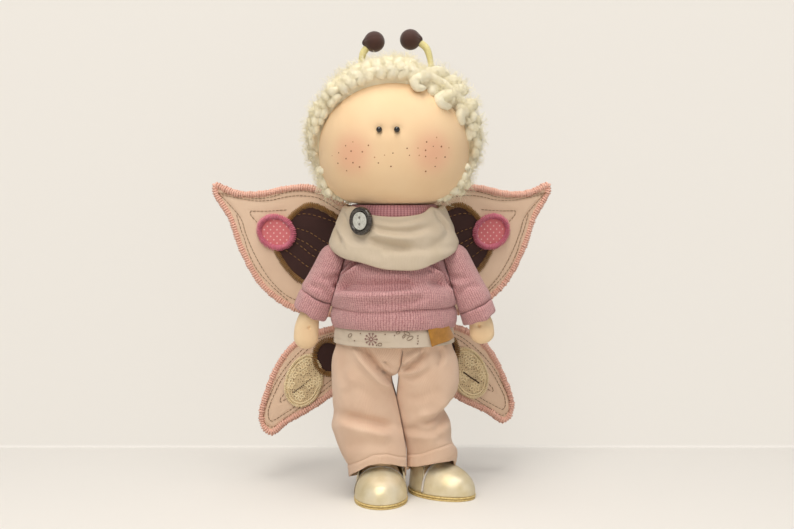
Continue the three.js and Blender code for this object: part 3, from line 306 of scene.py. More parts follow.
# Knit stitches: every wale is a rounded column of small loops, with a cleft between it and the next.
tree, given, result = new_group(
    "Knit stitches",
    {"Vector": ("Vector", None), "Wale": ("Float", 0.0009), "Course": ("Float", 0.0007)},
    {"Height": "Float"})
parts = node(tree, "ShaderNodeSeparateXYZ", Vector=given["Vector"])
across = calc(tree, "FRACT", calc(tree, "DIVIDE", parts.outputs["X"], given["Wale"]))
leg = calc(tree, "ABSOLUTE", calc(tree, "SUBTRACT", across, 0.5))
arched = calc(tree, "COSINE", calc(tree, "MULTIPLY", leg, 0.98 * math.pi))
wale_round = calc(tree, "POWER", arched, 0.7)
cleft = ranged(tree, leg, From_Max=0.12, To_Min=0.72)
yarn = calc(tree, "MULTIPLY", wale_round, cleft)
course = calc(tree, "DIVIDE", parts.outputs["Y"], given["Course"])
slant = calc(tree, "ADD", course, leg)
loop = calc(tree, "COSINE", calc(tree, "MULTIPLY", slant, 2 * math.pi))
bead_shape = calc(tree, "MULTIPLY_ADD", loop, 0.2, 0.8)
tree.links.new(calc(tree, "MULTIPLY", yarn, bead_shape), result["Height"])
knit_stitches = tree


def noise(tree, vector, scale, detail=2.0, **more):
    return node(tree, "ShaderNodeTexNoise", Vector=vector, Scale=scale, Detail=detail,
                **more).outputs["Fac"]


# Cloth tone: painted shade darkens the colour between the stitches, and the dye drifts a little over the
# piece.
tree, given, result = new_group(
    "Cloth tone",
    {"Vector": ("Vector", None), "Colour": ("Color", None), "Shade": ("Color", None),
     "Stitch": ("Float", 1.0), "Depth": ("Float", 0.4), "Drift": ("Float", 0.3), "Patch": ("Float", 90.0)},
    {"Colour": "Color", "Fibre": "Float"})
cloud = noise(tree, given["Vector"], given["Patch"], 3.0)
spread = ranged(tree, cloud, From_Min=0.3, From_Max=0.7)
painted_gap_shade = calc(tree, "MULTIPLY", calc(tree, "SUBTRACT", 1.0, given["Stitch"]), given["Depth"])
drift = calc(tree, "MULTIPLY", spread, given["Drift"])
both = node(tree, "ShaderNodeClamp", Value=calc(tree, "ADD", painted_gap_shade, drift))
tree.links.new(mixed(tree, both, given["Colour"], given["Shade"]), result["Colour"])
tree.links.new(noise(tree, given["Vector"], 3800.0), result["Fibre"])
cloth_tone = tree


def knitted(tree, vector, wale, course):
    """The height of stitches whose wale and course are in metres."""
    return node(tree, "ShaderNodeGroup", {"node_tree": knit_stitches}, Vector=vector, Wale=wale,
                Course=course).outputs["Height"]


# The cloth's colour: painted shade between the stitches, as strong as depth, and a drift of dye.
def toned(tree, where, colour, shade, stitch, depth, drift, patch):
    return node(tree, "ShaderNodeGroup", {"node_tree": cloth_tone}, Vector=where["Object"], Colour=colour,
                Shade=shade, Stitch=stitch, Depth=depth, Drift=drift, Patch=patch).outputs


def raised(tree, height, strength, distance, settings=None):
    """The normal of a relief whose full height is a distance in metres."""
    return node(tree, "ShaderNodeBump", settings, Strength=strength, Distance=distance,
                Height=height).outputs["Normal"]


def cloth(name, colour, shade, wale=0.0004, course=0.0004, depth=0.00003, stitch=0.35, drift=0.3,
          patch=90.0, rough=0.9, sheen=0.2, wobble=0.0):
    """A knitted or woven cloth. The wale and course are in metres, and depth is the bump's."""
    material, tree, surface, where = new_finish(name)
    drag = node(tree, "ShaderNodeTexNoise", Vector=where["Object"], Scale=420.0, Detail=2.0)
    pulled = node(tree, "ShaderNodeVectorMath", {"operation": "MULTIPLY_ADD"}, _0=drag.outputs["Color"],
                  _1=(wobble, wobble, 0.0), _2=where["UV"])
    knit = knitted(tree, pulled, wale, course)
    # Stitch sets how dark the painted shade between the stitches is.
    tone = toned(tree, where, colour, shade, knit, stitch, drift, patch)
    relief = calc(tree, "MULTIPLY_ADD", tone["Fibre"], 0.45, knit)
    fill(surface, Base_Color=tone["Colour"], Normal=raised(tree, relief, 0.9, depth), Roughness=rough,
         Specular_IOR_Level=0.25, Sheen_Weight=sheen, Sheen_Roughness=0.5)
    return material


body_jersey = cloth("peach jersey of the body", paint(253, 228, 188), paint(236, 190, 140), 0.0005, 0.00042,
                    0.00005)

head_bottom, shoulder_height, trunk_bottom, hip_height = 170.3, 138.3, 88.3, 78.0
trunk_rows = [
    [0, 0, head_bottom + 3.4, 9, 9], [0, 0, shoulder_height + 20, 9.4, 9.4],
    [0, 0, shoulder_height + 14, 14, 12.4], [0, 0, shoulder_height + 7, 21, 15.5],
    [0, 0, shoulder_height - 3, 24.5, 17], [0, 0, trunk_bottom + 35, 27, 19],
    [0, 0, trunk_bottom + 22, 30.5, 21], [0, 0, trunk_bottom + 10, 30.5, 21],
    [0, 0, trunk_bottom + 3, 28, 19], [0, 0, trunk_bottom, 23.5, 15],
]
trunk = skin("trunk", loft(trunk_rows, 60, 64), body_jersey)
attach(trunk, "torso")
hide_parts("torso")

hip_reach = 17.0
shoe_length, shoe_width, shoe_height = 46.0, 30.6, 22.0
upper_foot = 2.8
foot_clearance = 2.4
shoes = {"right": ((-7.6, -9.0), 0.0), "left": ((28.0, 6.0), 45.0)}


def on_shoe(points, side_name):
    """Points given along a shoe, toe towards -Y, turned and moved to where that shoe stands."""
    (x, y), yaw = shoes[side_name]
    turn = math.radians(yaw)
    spin = np.array([[math.cos(turn), -math.sin(turn), 0], [math.sin(turn), math.cos(turn), 0], [0, 0, 1]])
    return np.asarray(points, float) @ spin.T + [x, y, 0]


# The last's rows as shares of the shoe: height, width, length and how far back the middle lies.
last_shares = [[1, 0.62, 0.43, 0.37], [0.9, 0.7, 0.55, 0.3], [0.76, 0.82, 0.71, 0.19],
               [0.58, 0.93, 0.87, 0.07], [0.34, 1, 0.99, 0], [0, 0.98, 1, 0]]


def joined(objects):
    """Several meshes of one piece as a single object."""
    first = objects[0]
    work = bmesh.new()
    for part in objects:
        work.from_mesh(part.data)
    work.to_mesh(first.data)
    work.free()
    first.data.shade_smooth()
    for part in objects[1:]:
        bpy.data.objects.remove(part)
    return first


for side_name, side in (("right", -1), ("left", 1)):
    hip = np.array([side * hip_reach, 2.0, hip_height])
    ankle = on_shoe([[0, 8.0, 0]], side_name)[0] + [0, 0, shoe_height]
    level = lambda share, radius: [*(hip + (ankle - hip) * share), radius, radius]
    leg_rows = [level(0, 10), level(0.3, 10), level(0.6, 8.6), level(0.8, 8.6), level(1, 7.5),
                [*(ankle * [1, 1, 0] + [0, 0, 9.0]), 7.5, 7.5]]
    leg_part = skin("leg_jersey_" + side_name, loft(leg_rows, 40, 32, domes=(10, 0)), body_jersey)
    foot_rows = [[0, back * shoe_length / 2, upper_foot + (shoe_height - upper_foot) * height,
                  wide * shoe_width / 2 - foot_clearance, long * shoe_length / 2 - foot_clearance]
                 for height, wide, long, back in last_shares]
    foot = loft(foot_rows, 24, 40)
    cap_inside = np.interp(foot[..., 1], [-22, -18, -10, 0, 3, 5], [4.6, 7.5, 11.5, 14.5, 16, 24])
    foot[..., 2] = np.minimum(np.maximum(foot[..., 2], 4.2), cap_inside)
    foot_part = skin("foot", on_shoe(foot, side_name), body_jersey)
    stuffed_leg = joined([leg_part, foot_part])
    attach(stuffed_leg, "leg_" + side_name)
    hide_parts("leg_" + side_name)

# The head: a ball of the same jersey, stuffed hard, wider than it is tall. Cheeks rubbed with
# colour, freckles put on by hand with a brush, and two glass bead eyes sewn through, each in a dimple.
head_equator, head_rise, head_drop, jowl = 204.3, 41.6, 34.0, 2.9
head_half = np.array([43.3, 37.0])


def plump(half_width, half_depth, rise, drop, fullness, rows, columns):
    """A cushion of oval plan whose lower half is fuller than a true ellipse."""
    polar = np.linspace(0.02, math.pi - 0.02, rows)
    power = np.where(polar > math.pi / 2, 2 / fullness, 1.0)
    level = np.sin(polar) ** power
    height = head_equator + np.sign(np.cos(polar)) * np.abs(np.cos(polar)) ** power * np.where(
        polar > math.pi / 2, drop, rise)
    angle = -math.pi + round_turns(columns)
    return np.stack([half_width * level[:, None] * np.sin(angle),
                     -half_depth * level[:, None] * np.cos(angle),
                     np.tile(height[:, None], (1, columns))], axis=2)


def face_point(x, z):
    """The point on the face in front of x and z."""
    up = z - head_equator
    if up > 0:
        level = math.sqrt(1 - (up / head_rise) ** 2)
    else:
        level = (1 - (abs(up) / head_drop) ** jowl) ** (1 / jowl)
    return np.array([x, -head_half[1] * math.sqrt(max(level ** 2 - (x / head_half[0]) ** 2, 0)), z])


eyes = {"right": np.array([-8.1, 0, 213.4]), "left": np.array([1.7, 0, 213.4])}
for spot in eyes.values():
    spot[1] = face_point(spot[0], spot[2])[1]
head_rings = plump(*head_half, head_rise, head_drop, jowl, 110, 180)
for spot in eyes.values():
    reach = np.linalg.norm(head_rings - spot, axis=2)
    head_rings = pushed(head_rings, -1.1 * np.exp(-(reach / 2.6) ** 2) - 0.35 * np.exp(-(reach / 6) ** 2))

face_jersey, tree, surface, where = new_finish("face jersey with rubbed cheeks")
knit = knitted(tree, where["UV"], 0.00058, 0.0005)
tone = toned(tree, where, paint(252, 222, 180), paint(238, 194, 146), knit, 0.34, 0.2, 60.0)
colour = tone["Colour"]
for x, z in ((-23.5, 200.4), (21.6, 201.2)):
    apart = node(tree, "ShaderNodeVectorMath", {"operation": "DISTANCE"}, _0=where["Object"],
                 _1=tuple(at([face_point(x, z)])[0]))
    fade = node(tree, "ShaderNodeMapRange", {"interpolation_type": "SMOOTHERSTEP"},
                Value=apart.outputs["Value"], From_Min=0.0, From_Max=0.0205, To_Min=0.42, To_Max=0.0)
    colour = mixed(tree, fade.outputs["Result"], colour, paint(236, 148, 128))
relief = calc(tree, "MULTIPLY_ADD", tone["Fibre"], 0.5, knit)
fill(surface, Base_Color=colour, Normal=raised(tree, relief, 0.8, 0.00012), Roughness=0.88,
     Specular_IOR_Level=0.25, Sheen_Weight=0.15)

head = skin("head_ball", head_rings, face_jersey)
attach(head, "head")
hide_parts("head")

eye_radius = 1.68
bead_black, tree, surface, where = new_finish("black glass bead")
fill(surface, Base_Color=paint(14, 12, 13), Coat_Weight=0.6,
     Roughness=ranged(tree, noise(tree, where["Object"], 700.0), To_Min=0.03, To_Max=0.12))
for side_name, spot in eyes.items():
    polar = np.linspace(0.05, math.pi - 0.05, 22)
    angle = round_turns(28)
    level = np.sin(polar)[:, None]
    rings = eye_radius * np.stack([level * np.cos(angle), np.tile(np.cos(polar)[:, None], (1, 28)),
                                   level * np.sin(angle)], axis=2)
    eye = skin("bead_eye_" + side_name, rings + spot + [0, -0.2, 0], bead_black)
    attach(eye, "head")
    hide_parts("eye_" + side_name)

for name in ("antenna_root_right", "antenna_root_left"):
    wire, tree, surface, where = new_finish("wire of " + name)
    fill(surface, Base_Color=paint(140, 138, 134), Metallic=1.0,
         Roughness=noise(tree, where["Object"], 900.0))
    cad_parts[name].data.materials.clear()
    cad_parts[name].data.materials.append(wire)


# The hair: cream wool roving, sewn down over a cap in soft curls that lie like commas. They are
# small along the edge of the face, with a row of locks over the forehead and broad rolls at the
# doll's left temple. Loose fibres stand off it all over.
hairline, hair_lean = np.array([0, -4.0, 206.9]), math.radians(25.8)
hair_back = np.array([0, math.cos(hair_lean), math.sin(hair_lean)])
hair_up = np.array([0, -math.sin(hair_lean), math.cos(hair_lean)])
hair_middle = np.array([0, 2.0, 205.0])
rng = np.random.default_rng(7)

wool, tree, surface, where = new_finish("cream wool")
strands = node(tree, "ShaderNodeMapping", Vector=where["UV"], Scale=(5200.0, 420.0, 1.0)).outputs["Vector"]
fibres = noise(tree, strands, 1.0, 3.0)
# Painted shade darkens the wool between its fibres.
tone = toned(tree, where, paint(255, 252, 234), paint(255, 240, 198), fibres, 0.55, 0.3, 130.0)
fill(surface, Base_Color=tone["Colour"], Normal=raised(tree, fibres, 0.9, 0.0004), Roughness=0.85,
     Specular_IOR_Level=0.2, Sheen_Weight=0.35, Subsurface_Weight=0.15, Subsurface_Scale=0.002,
     Subsurface_Radius=(1.0, 1.0, 1.0))


def lumps(points, size):
    """Soft lumps from -1 to 1, about one size across."""
    total = 0
    for index in range(6):
        way = np.array([math.sin(2.1 * index + 1), math.cos(3.3 * index), math.sin(1.3 * index + 2.4)])
        total = total + np.sin(points @ (way / np.linalg.norm(way)) * 2 * math.pi / size + 1.7 * index)
    return total / 3.4


def tube(spine, radius, angle, first, second):
    """Rings round a line of points, whose radius goes from the first way to the second with the angle."""
    return (spine[:, None] + (radius * np.cos(angle))[..., None] * first[:, None]
            + (radius * np.sin(angle))[..., None] * second[:, None])


def lock(path, radii, turns, groove, columns, rings):
    """A lock of wool: a tube on a smooth path, thick and thin, with two plies twisted round it."""
    path = eased(np.column_stack([path, radii]), rings)
    spine, radius = path[:, :3], path[:, 3]
    along = unit_rows(np.gradient(spine, axis=0))
    out = spine - hair_middle
    out -= along * (out * along).sum(1)[:, None]
    out /= np.maximum(np.linalg.norm(out, axis=1), 1e-6)[:, None]
    side = np.cross(along, out)
    share = np.linspace(0, 1, len(spine))[:, None]
    angle = round_turns(columns)[None, :]
    size = radius[:, None] * (1 + groove * np.cos(2 * (angle - 2 * math.pi * turns * share)))
    size = size * (1 + 0.09 * lumps(tube(spine, 2, angle, out, side), 4.6))
    ends = np.sqrt(np.clip(1 - np.abs(2 * share - 1) ** 10, 0.02, 1))
    return tube(spine, size * ends, angle, out, side)


def border(angle, back=0.0, out=0.0):
    """A point on the edge of the hair round the face: 0 degrees is over the forehead, and the angle
    grows towards the doll's left. Back is behind the edge, and out is away from the head."""
    turn = math.radians(angle)
    rise = (44.9 + out) * math.cos(turn) * (1 if math.cos(turn) > 0 else 0.95)
    return hairline + np.array([(46.6 + out) * math.sin(turn), 0, 0]) + hair_up * rise + hair_back * back


def curl(middle, reach, thickness, height=1.5):
    """A soft curl that comes up out of the hair, goes round and dips back in."""
    middle = np.asarray(middle, float)
    out = middle - hair_middle
    out /= np.linalg.norm(out)
    first = np.cross(out, [0.1, 0.2, 1.0])
    first /= np.linalg.norm(first)
    second = np.cross(out, first)
    share = np.linspace(0, 1, 9)
    turn = rng.uniform(0, 6.28) + 4.4 * share
    path = (middle + reach * (np.cos(turn)[:, None] * first + np.sin(turn)[:, None] * second)
            + (height * np.sin(math.pi * share) - 0.8)[:, None] * out)
    return lock(path, thickness * (0.66 + 0.42 * np.sin(math.pi * share ** 0.8)), 0.8, 0.07, 14, 30)


curls = []
for back, out, step, first, last, reach, thick in [
    (1.4, 0.2, 5.6, -146, -42, 1.5, 2.35), (5.6, 1.0, 6.6, -142, -46, 1.9, 2.6),
    (0.8, -4.6, 6.2, -78, -38, 1.5, 2.2), (1.6, 0.4, 6.4, 72, 143, 1.5, 2.4),
    (5.8, 1.0, 7.0, 76, 138, 1.9, 2.6), (0.6, -4.2, 6.4, 50, 84, 1.5, 2.2)]:
    for angle in np.arange(first, last, step):
        out_here = out * max(math.cos(math.radians(angle)), 0.1) ** 0.7 if out < 0 else out
        spot = border(angle + rng.uniform(-1, 1), back + rng.uniform(-0.4, 0.4),
                      out_here + rng.uniform(-0.7, 0.5))
        curls.append(curl(spot, reach * rng.uniform(0.85, 1.15), thick * rng.uniform(0.9, 1.1)))
for angle in (-42, -34, -26.5, -19, -11, -3.5, 4, 12):
    wander = rng.uniform(-2, 2, 4)
    path = [border(angle - 5, 18, -1.6), border(angle + wander[0], 12, -0.8),
            border(angle - 2 + wander[1], 6.4, -0.6), border(angle + 2 + wander[2], 1.6, -2.4),
            border(angle + wander[3], 0.6, -5.6)]
    curls.append(lock(path, [3.2, 3.8, 3.8, 3.6, 2.4], 1.0, 0.05, 16, 40))
rolls = [
    ([(31, -6, 245.6), (24, -13.5, 246), (16.5, -20.5, 243.6), (11.8, -24.4, 240.4), (13, -25.4, 237.4),
      (18, -24.6, 236.8)], [3.8, 4.6, 4.6, 4.0, 3.1, 2.0]),
    ([(41.5, -2, 237), (37, -10.5, 236.4), (30.4, -17.4, 233.8), (25.6, -21.6, 230.8), (26.8, -22.8, 228),
      (32.5, -20.4, 226.4)], [3.8, 4.4, 4.6, 4.0, 3.1, 2.1]),
    ([(38.4, 2, 241.6), (32, -7, 241.8), (26.4, -13.8, 239), (22, -19, 235.8), (21.6, -21.4, 233)],
     [3.8, 4.4, 4.4, 3.8, 2.4]),
    ([(46.5, 2, 228), (43.4, -8, 228.5), (39, -13.5, 225.4), (37.6, -15.6, 221), (39.6, -14, 217)],
     [3.6, 4.4, 4.2, 3.4, 2.4]),
    ([(47, 4, 221), (44.4, -4, 218), (42.4, -9, 213), (43, -8, 208)], [3.2, 3.6, 3.2, 2.2])]
curls += [lock([(x, y + 1.2, z) for x, y, z in path], [0.84 * thick for thick in radii], 0.9, 0.05, 18, 44)
          for path, radii in rolls]
for back, out, span, thick in ((2.6, -0.8, 134, 2.5), (3.0, -4.6, 80, 2.3)):
    path = [border(angle, back, out * (math.cos(math.radians(angle)) if out < -1 else 1))
            for angle in np.linspace(-span, span, 30)]
    curls.append(lock(path, [thick] * 30, 14, 0.08, 14, 200))
for x, y, z, thick in [
    (-42.4, -3, 189, 2.5), (-40.4, -3.5, 183.6, 2.4), (-37.6, -3, 178.6, 2.2), (-43, 3, 184, 2.4),
    (-39.5, 4, 178, 2.2), (-33.6, 0, 175.6, 1.7), (42.6, -2, 189.6, 2.5), (40, -3, 184.2, 2.4),
    (36.6, -2.6, 179.2, 2.2), (42.4, 3, 183.6, 2.4), (38.6, 4, 178, 2.2), (32, 0, 175.8, 1.7)]:
    curls.append(curl([x, y, z], thick * 0.6, thick, height=0.6))
for x, z, thick in [
    (-41.4, 192, 2.0), (-40.4, 186.6, 2.3), (-38.2, 181.4, 2.4), (-35, 177.6, 2.2), (-31, 175.2, 1.8),
    (41.4, 192, 2.0), (40, 187, 2.4), (37.2, 182.8, 2.6), (33.8, 179, 2.5), (30, 175.9, 2.0),
    (26, 174.4, 1.5)]:
    curls.append(curl(face_point(x, z) + [0, -0.6, 0], thick * 0.6, thick, height=0.6))
fringe = skin("wool_fringe", curls, wool)
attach(fringe, "head")
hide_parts("hair_fringe")

cap_rings = plump(46.3, 40.6, 46.6, 36.0, 2.6, 70, 110)
cap_rings = pushed(cap_rings, 0.8 * np.sin(cap_rings[..., 0] / 3.1) * np.cos(cap_rings[..., 2] / 2.9))
behind = ((cap_rings - hairline) @ hair_back)[..., None]
cap_rings = cap_rings + hair_back * np.maximum(0.8 - behind, 0)
cap_rings[..., 2] = np.maximum(cap_rings[..., 2], 173.0)


def on_cap(azimuth, polar, lift=0.0):
    """A point over the cap: azimuth 0 is the front and 90 the doll's left, polar 0 the crown."""
    level, up = math.sin(polar), math.cos(polar)
    if up < 0:
        level, up = level ** 0.77, -abs(up) ** 0.77
    return np.array([(47.0 + lift) * level * math.sin(azimuth), -(41.4 + lift) * level * math.cos(azimuth),
                     head_equator + up * ((47.4 if up > 0 else 34.0) + lift)])


waves = []
for count, reach, thick, lift in ((126, 4.7, 3.3, -1.5), (430, 1.7, 2.3, -1.6)):
    for index in range(count):
        polar = math.acos(1 - 2 * (index + 0.5) / count)
        spot = on_cap(index * math.pi * (3 - math.sqrt(5)), polar, lift)
        if (spot - hairline) @ hair_back < 3.4 + reach + thick * 0.5 or spot[2] < 173.6 + reach + thick:
            continue
        waves.append(curl(spot, reach * rng.uniform(0.85, 1.1), thick * rng.uniform(0.9, 1.08)))
hair = joined([skin("wool_cap", cap_rings, wool), skin("wool_locks", waves, wool)])
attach(hair, "head")
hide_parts("hair_cap")

# Loose fibres: short bent hairs that grow out of the wool where it faces outwards.
tree, given, result = new_group(
    "Wool fuzz",
    {"Wool": ("Geometry", None), "Fibres each square metre": ("Float", 200000.0),
     "Length": ("Float", 0.005), "Thickness": ("Float", 0.00006), "Middle": ("Vector", None),
     "Seed": ("Int", 5), "Finish": ("Material", None)},
    {"Geometry": "Geometry"}, "GeometryNodeTree")
away = node(tree, "ShaderNodeVectorMath", {"operation": "SUBTRACT"},
            _0=node(tree, "GeometryNodeInputPosition"), _1=given["Middle"])
unit = node(tree, "ShaderNodeVectorMath", {"operation": "NORMALIZE"}, _0=away)
facing_out = node(tree, "ShaderNodeVectorMath", {"operation": "DOT_PRODUCT"}, _0=unit,
                  _1=node(tree, "GeometryNodeInputNormal"))
chosen = node(tree, "FunctionNodeCompare", {"data_type": "FLOAT", "operation": "GREATER_THAN"},
              _0=facing_out.outputs["Value"], _1=0.45)
roots = node(tree, "GeometryNodeDistributePointsOnFaces", Mesh=given["Wool"], Selection=chosen,
             Density=given["Fibres each square metre"], Seed=given["Seed"])
fibre_top = node(tree, "ShaderNodeCombineXYZ", X=0.1, Z=0.75)
fibre_end = node(tree, "ShaderNodeCombineXYZ", X=0.62, Y=0.2, Z=0.8)
fibre_line = node(tree, "GeometryNodeCurveQuadraticBezier", Resolution=3, Start=(0.0, 0.0, 0.0),
                  Middle=fibre_top, End=fibre_end)
fibre_round = node(tree, "GeometryNodeCurvePrimitiveCircle", Resolution=3,
                   Radius=calc(tree, "DIVIDE", given["Thickness"], given["Length"]))
fibre = node(tree, "GeometryNodeCurveToMesh", Curve=fibre_line,
             Profile_Curve=fibre_round.outputs["Curve"], Fill_Caps=True)
tilts = node(tree, "FunctionNodeRandomValue", {"data_type": "FLOAT_VECTOR"}, _0=(0.3, 0.0, 0.0),
             _1=(1.45, 0.0, 6.283), Seed=given["Seed"])
lean = node(tree, "FunctionNodeEulerToRotation", Euler=tilts)
turned = node(tree, "FunctionNodeRotateRotation", {"rotation_space": "LOCAL"},
              Rotation=roots.outputs["Rotation"], Rotate_By=lean)
lengths = node(tree, "FunctionNodeRandomValue", {"data_type": "FLOAT"}, _2=0.4, _3=1.25, Seed=given["Seed"])
sown = node(tree, "GeometryNodeInstanceOnPoints", Points=roots.outputs["Points"], Instance=fibre,
            Rotation=turned, Scale=calc(tree, "MULTIPLY", lengths.outputs[1], given["Length"]))
real = node(tree, "GeometryNodeRealizeInstances", Geometry=sown)
finished = node(tree, "GeometryNodeSetMaterial", Geometry=real, Material=given["Finish"])
tree.links.new(finished.outputs[0], result["Geometry"])
fuzz_tree = tree


def grown(name, source, tree, **sizes):
    """Runs a node tree over a copy of a mesh and returns what it makes as a plain mesh."""
    holder = placed(name, source.copy())
    modifier = holder.modifiers.new(name, "NODES")
    modifier.node_group = tree
    for item in tree.interface.items_tree:
        if item.in_out == "INPUT" and item.name.replace(" ", "_") in sizes:
            modifier[item.identifier] = sizes[item.name.replace(" ", "_")]
    holder.update_tag()
    bpy.context.view_layer.update()
    done = bpy.data.meshes.new_from_object(holder.evaluated_get(bpy.context.evaluated_depsgraph_get()))
    bpy.data.objects.remove(holder)
    done.name = name
    made = placed(name, done)
    return made


wool_fibre = cloth("loose wool fibre", paint(255, 250, 226), paint(255, 240, 196), 0.0004, 0.0004, 0.00001,
                   stitch=0.1, rough=0.8, sheen=0.1)
for name, source, amount in (("wool_fuzz_cap", hair, 210000.0), ("wool_fuzz_fringe", fringe, 700000.0)):
    fuzz = grown(name, source.data, fuzz_tree, Fibres_each_square_metre=amount, Length=0.0044,
                 Thickness=0.00007, Middle=tuple(at([hair_middle])[0]), Seed=5, Finish=wool_fibre)
    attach(fuzz, "head")

# The freckles: dots of thick brown paint, put on by hand over the cheeks and the nose.
freckle_spots = [
    (-26.8, 204.7), (-14, 204.7), (-23.7, 201.6), (-30.8, 200.8), (-17.4, 201.2), (-26.6, 197.5),
    (-22.7, 195.2), (-31.3, 195), (-19, 192.8), (-26.3, 190.8), (-8.5, 195), (-0.5, 200.4), (-1.6, 193.1),
    (7.3, 203), (8.6, 199.2), (18.1, 206.6), (17.5, 202), (21.8, 204.2), (26.4, 204.2), (17.5, 198.6),
    (28.5, 198.4), (22.9, 193.1), (17.6, 190.4)]
faint_spots = [(-34.7, 199.3), (-22.7, 206.7), (-10.6, 198.1), (-5.1, 199.3), (13.3, 203.2), (14, 199.2),
               (23.7, 209.2), (30.7, 203.6), (23.5, 197.8)]
tree, given, result = new_group(
    "Painted dots",
    {"Spots": ("Geometry", None), "Size": ("Float", 0.0005), "Rise": ("Float", 0.2), "Seed": ("Int", 2),
     "Finish": ("Material", None)},
    {"Geometry": "Geometry"}, "GeometryNodeTree")
bead = node(tree, "GeometryNodeMeshUVSphere", Segments=10, Rings=6, Radius=1.0)
low_bead = node(tree, "GeometryNodeTransform", Geometry=bead,
                Scale=node(tree, "ShaderNodeCombineXYZ", X=1.0, Y=1.0, Z=given["Rise"]))
faced = node(tree, "FunctionNodeAlignRotationToVector", {"axis": "Z"},
             Vector=node(tree, "GeometryNodeInputNamedAttribute", {"data_type": "FLOAT_VECTOR"},
                         Name="outward"))
vary = node(tree, "FunctionNodeRandomValue", {"data_type": "FLOAT"}, _2=0.75, _3=1.2, Seed=given["Seed"])
set_down = node(tree, "GeometryNodeInstanceOnPoints", Points=given["Spots"], Instance=low_bead,
                Rotation=faced, Scale=calc(tree, "MULTIPLY", vary.outputs[1], given["Size"]))


def smooth_result(tree, pieces, finish, result):
    """Makes a tree's pieces one smooth mesh in the given finish, as its result."""
    real = node(tree, "GeometryNodeRealizeInstances", Geometry=pieces)
    smooth = node(tree, "GeometryNodeSetShadeSmooth", Geometry=real)
    finished = node(tree, "GeometryNodeSetMaterial", Geometry=smooth, Material=finish)
    tree.links.new(finished.outputs[0], result["Geometry"])


smooth_result(tree, set_down, given["Finish"], result)
dots_tree = tree


def dotted(name, spots, outwards, material, size, rise=0.2):
    """Low round dots on a surface, at points in millimetres with the way each one faces."""
    mesh = bpy.data.meshes.new(name)
    mesh.from_pydata(at(spots).tolist(), [], [])
    mesh.attributes.new("outward", "FLOAT_VECTOR", "POINT").data.foreach_set("vector", np.ravel(outwards))
    return grown(name, mesh, dots_tree, Size=size, Rise=rise, Seed=2, Finish=material)


for name, spots, tint, size in (("freckles", freckle_spots, paint(150, 92, 66), 0.00046),
                                ("faint_freckles", faint_spots, paint(206, 150, 112), 0.00042)):
    paint_brown = cloth("paint of the " + name.replace("_", " "), tint, tint, 0.0004, 0.0004, 0.00001,
                        stitch=0.1)
    places = np.array([face_point(x, z) for x, z in spots])
    outwards = unit_rows((places - [0, 0, head_equator]) / np.array([*head_half, 39]) ** 2)
    made = dotted(name, places, outwards, paint_brown, size)
    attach(made, "head")

# The antennae: a wire wound with pale yellow yarn, bent inwards, with a gathered ball of chocolate
# cotton drawn up over a bead. The gathers run to a knot on the outer side.
antenna_bodies = {
    "right": ([(-18.6, 0, 248.2), (-18.7, 0, 253.5), (-17.6, 0, 258.8), (-15.2, 0, 262.0)],
              (-11.3, 0, 265.0), (-1.0, -0.1, -0.12)),
    "left": ([(21.5, 0, 248.0), (20.9, 0, 254.5), (18.6, 0, 261.3), (14.8, 0, 264.6)],
             (9.4, 0, 266.2), (1.0, -0.15, 0.05)),
}
wound_yarn = cloth("pale yellow wound yarn", paint(243, 234, 176), paint(214, 198, 126), 0.0011, 0.0006,
                   0.00012, stitch=0.3)
chocolate_cotton = cloth("chocolate cotton", paint(78, 48, 40), paint(48, 29, 26), 0.00045, 0.00045,
                         0.00004, stitch=0.3, rough=0.72, sheen=0.35)
for side_name, (path, ball, knot) in antenna_bodies.items():
    rows = eased(np.column_stack([path, [1.45, 1.7, 2.0, 2.0]]), 90)
    spine, along = rows[:, :3], unit_rows(np.gradient(rows[:, :3], axis=0))
    across = np.cross([0, -1.0, 0], along)
    angle = round_turns(18)[None, :]
    run = np.cumsum(np.linalg.norm(np.gradient(spine, axis=0), axis=1))[:, None]
    winding = 1 + 0.11 * np.abs(np.sin(math.pi * run / 1.15 + angle / 2)) - 0.05
    size = rows[:, 3][:, None] * winding
    rings = tube(spine, size, angle, across, np.array([[0, -1.0, 0]]))
    stem = skin("antenna_stem_yarn_" + side_name, rings, wound_yarn)
    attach(stem, "antenna_" + side_name)
    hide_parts("antenna_stem_" + side_name)

    pole = np.array(knot) / np.linalg.norm(knot)
    first = np.cross(pole, [0, 0, 1.0])
    first /= np.linalg.norm(first)
    second = np.cross(pole, first)
    polar = np.linspace(0.03, math.pi - 0.03, 44)[:, None]
    angle = round_turns(60)[None, :]
    gather = 0.16 * np.exp(-(polar / 0.75) ** 2) * np.cos(11 * angle + 3 * polar)
    apart = np.abs((angle + 0.4) % (math.pi / 2) - math.pi / 4)
    seams = -0.18 * np.exp(-(apart / 0.05) ** 2) * np.sin(polar)
    size = 6.0 + gather + seams + 1.0 * np.exp(-(polar / 0.28) ** 2)
    rings = (np.array(ball) + (size * np.cos(polar))[..., None] * pole
             + (size * np.sin(polar) * np.cos(angle))[..., None] * first
             + (size * np.sin(polar) * np.sin(angle))[..., None] * second)
    gathered = skin("antenna_ball_cotton_" + side_name, rings, chocolate_cotton)
    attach(gathered, "antenna_" + side_name)
    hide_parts("antenna_ball_" + side_name)

# The undershirt: cream cotton jersey with a small scattered print of sprigs. Its hem shows under the
# sweater, and a mustard suede tag hangs from the sweater's edge over it.
band_bottom = 101.0


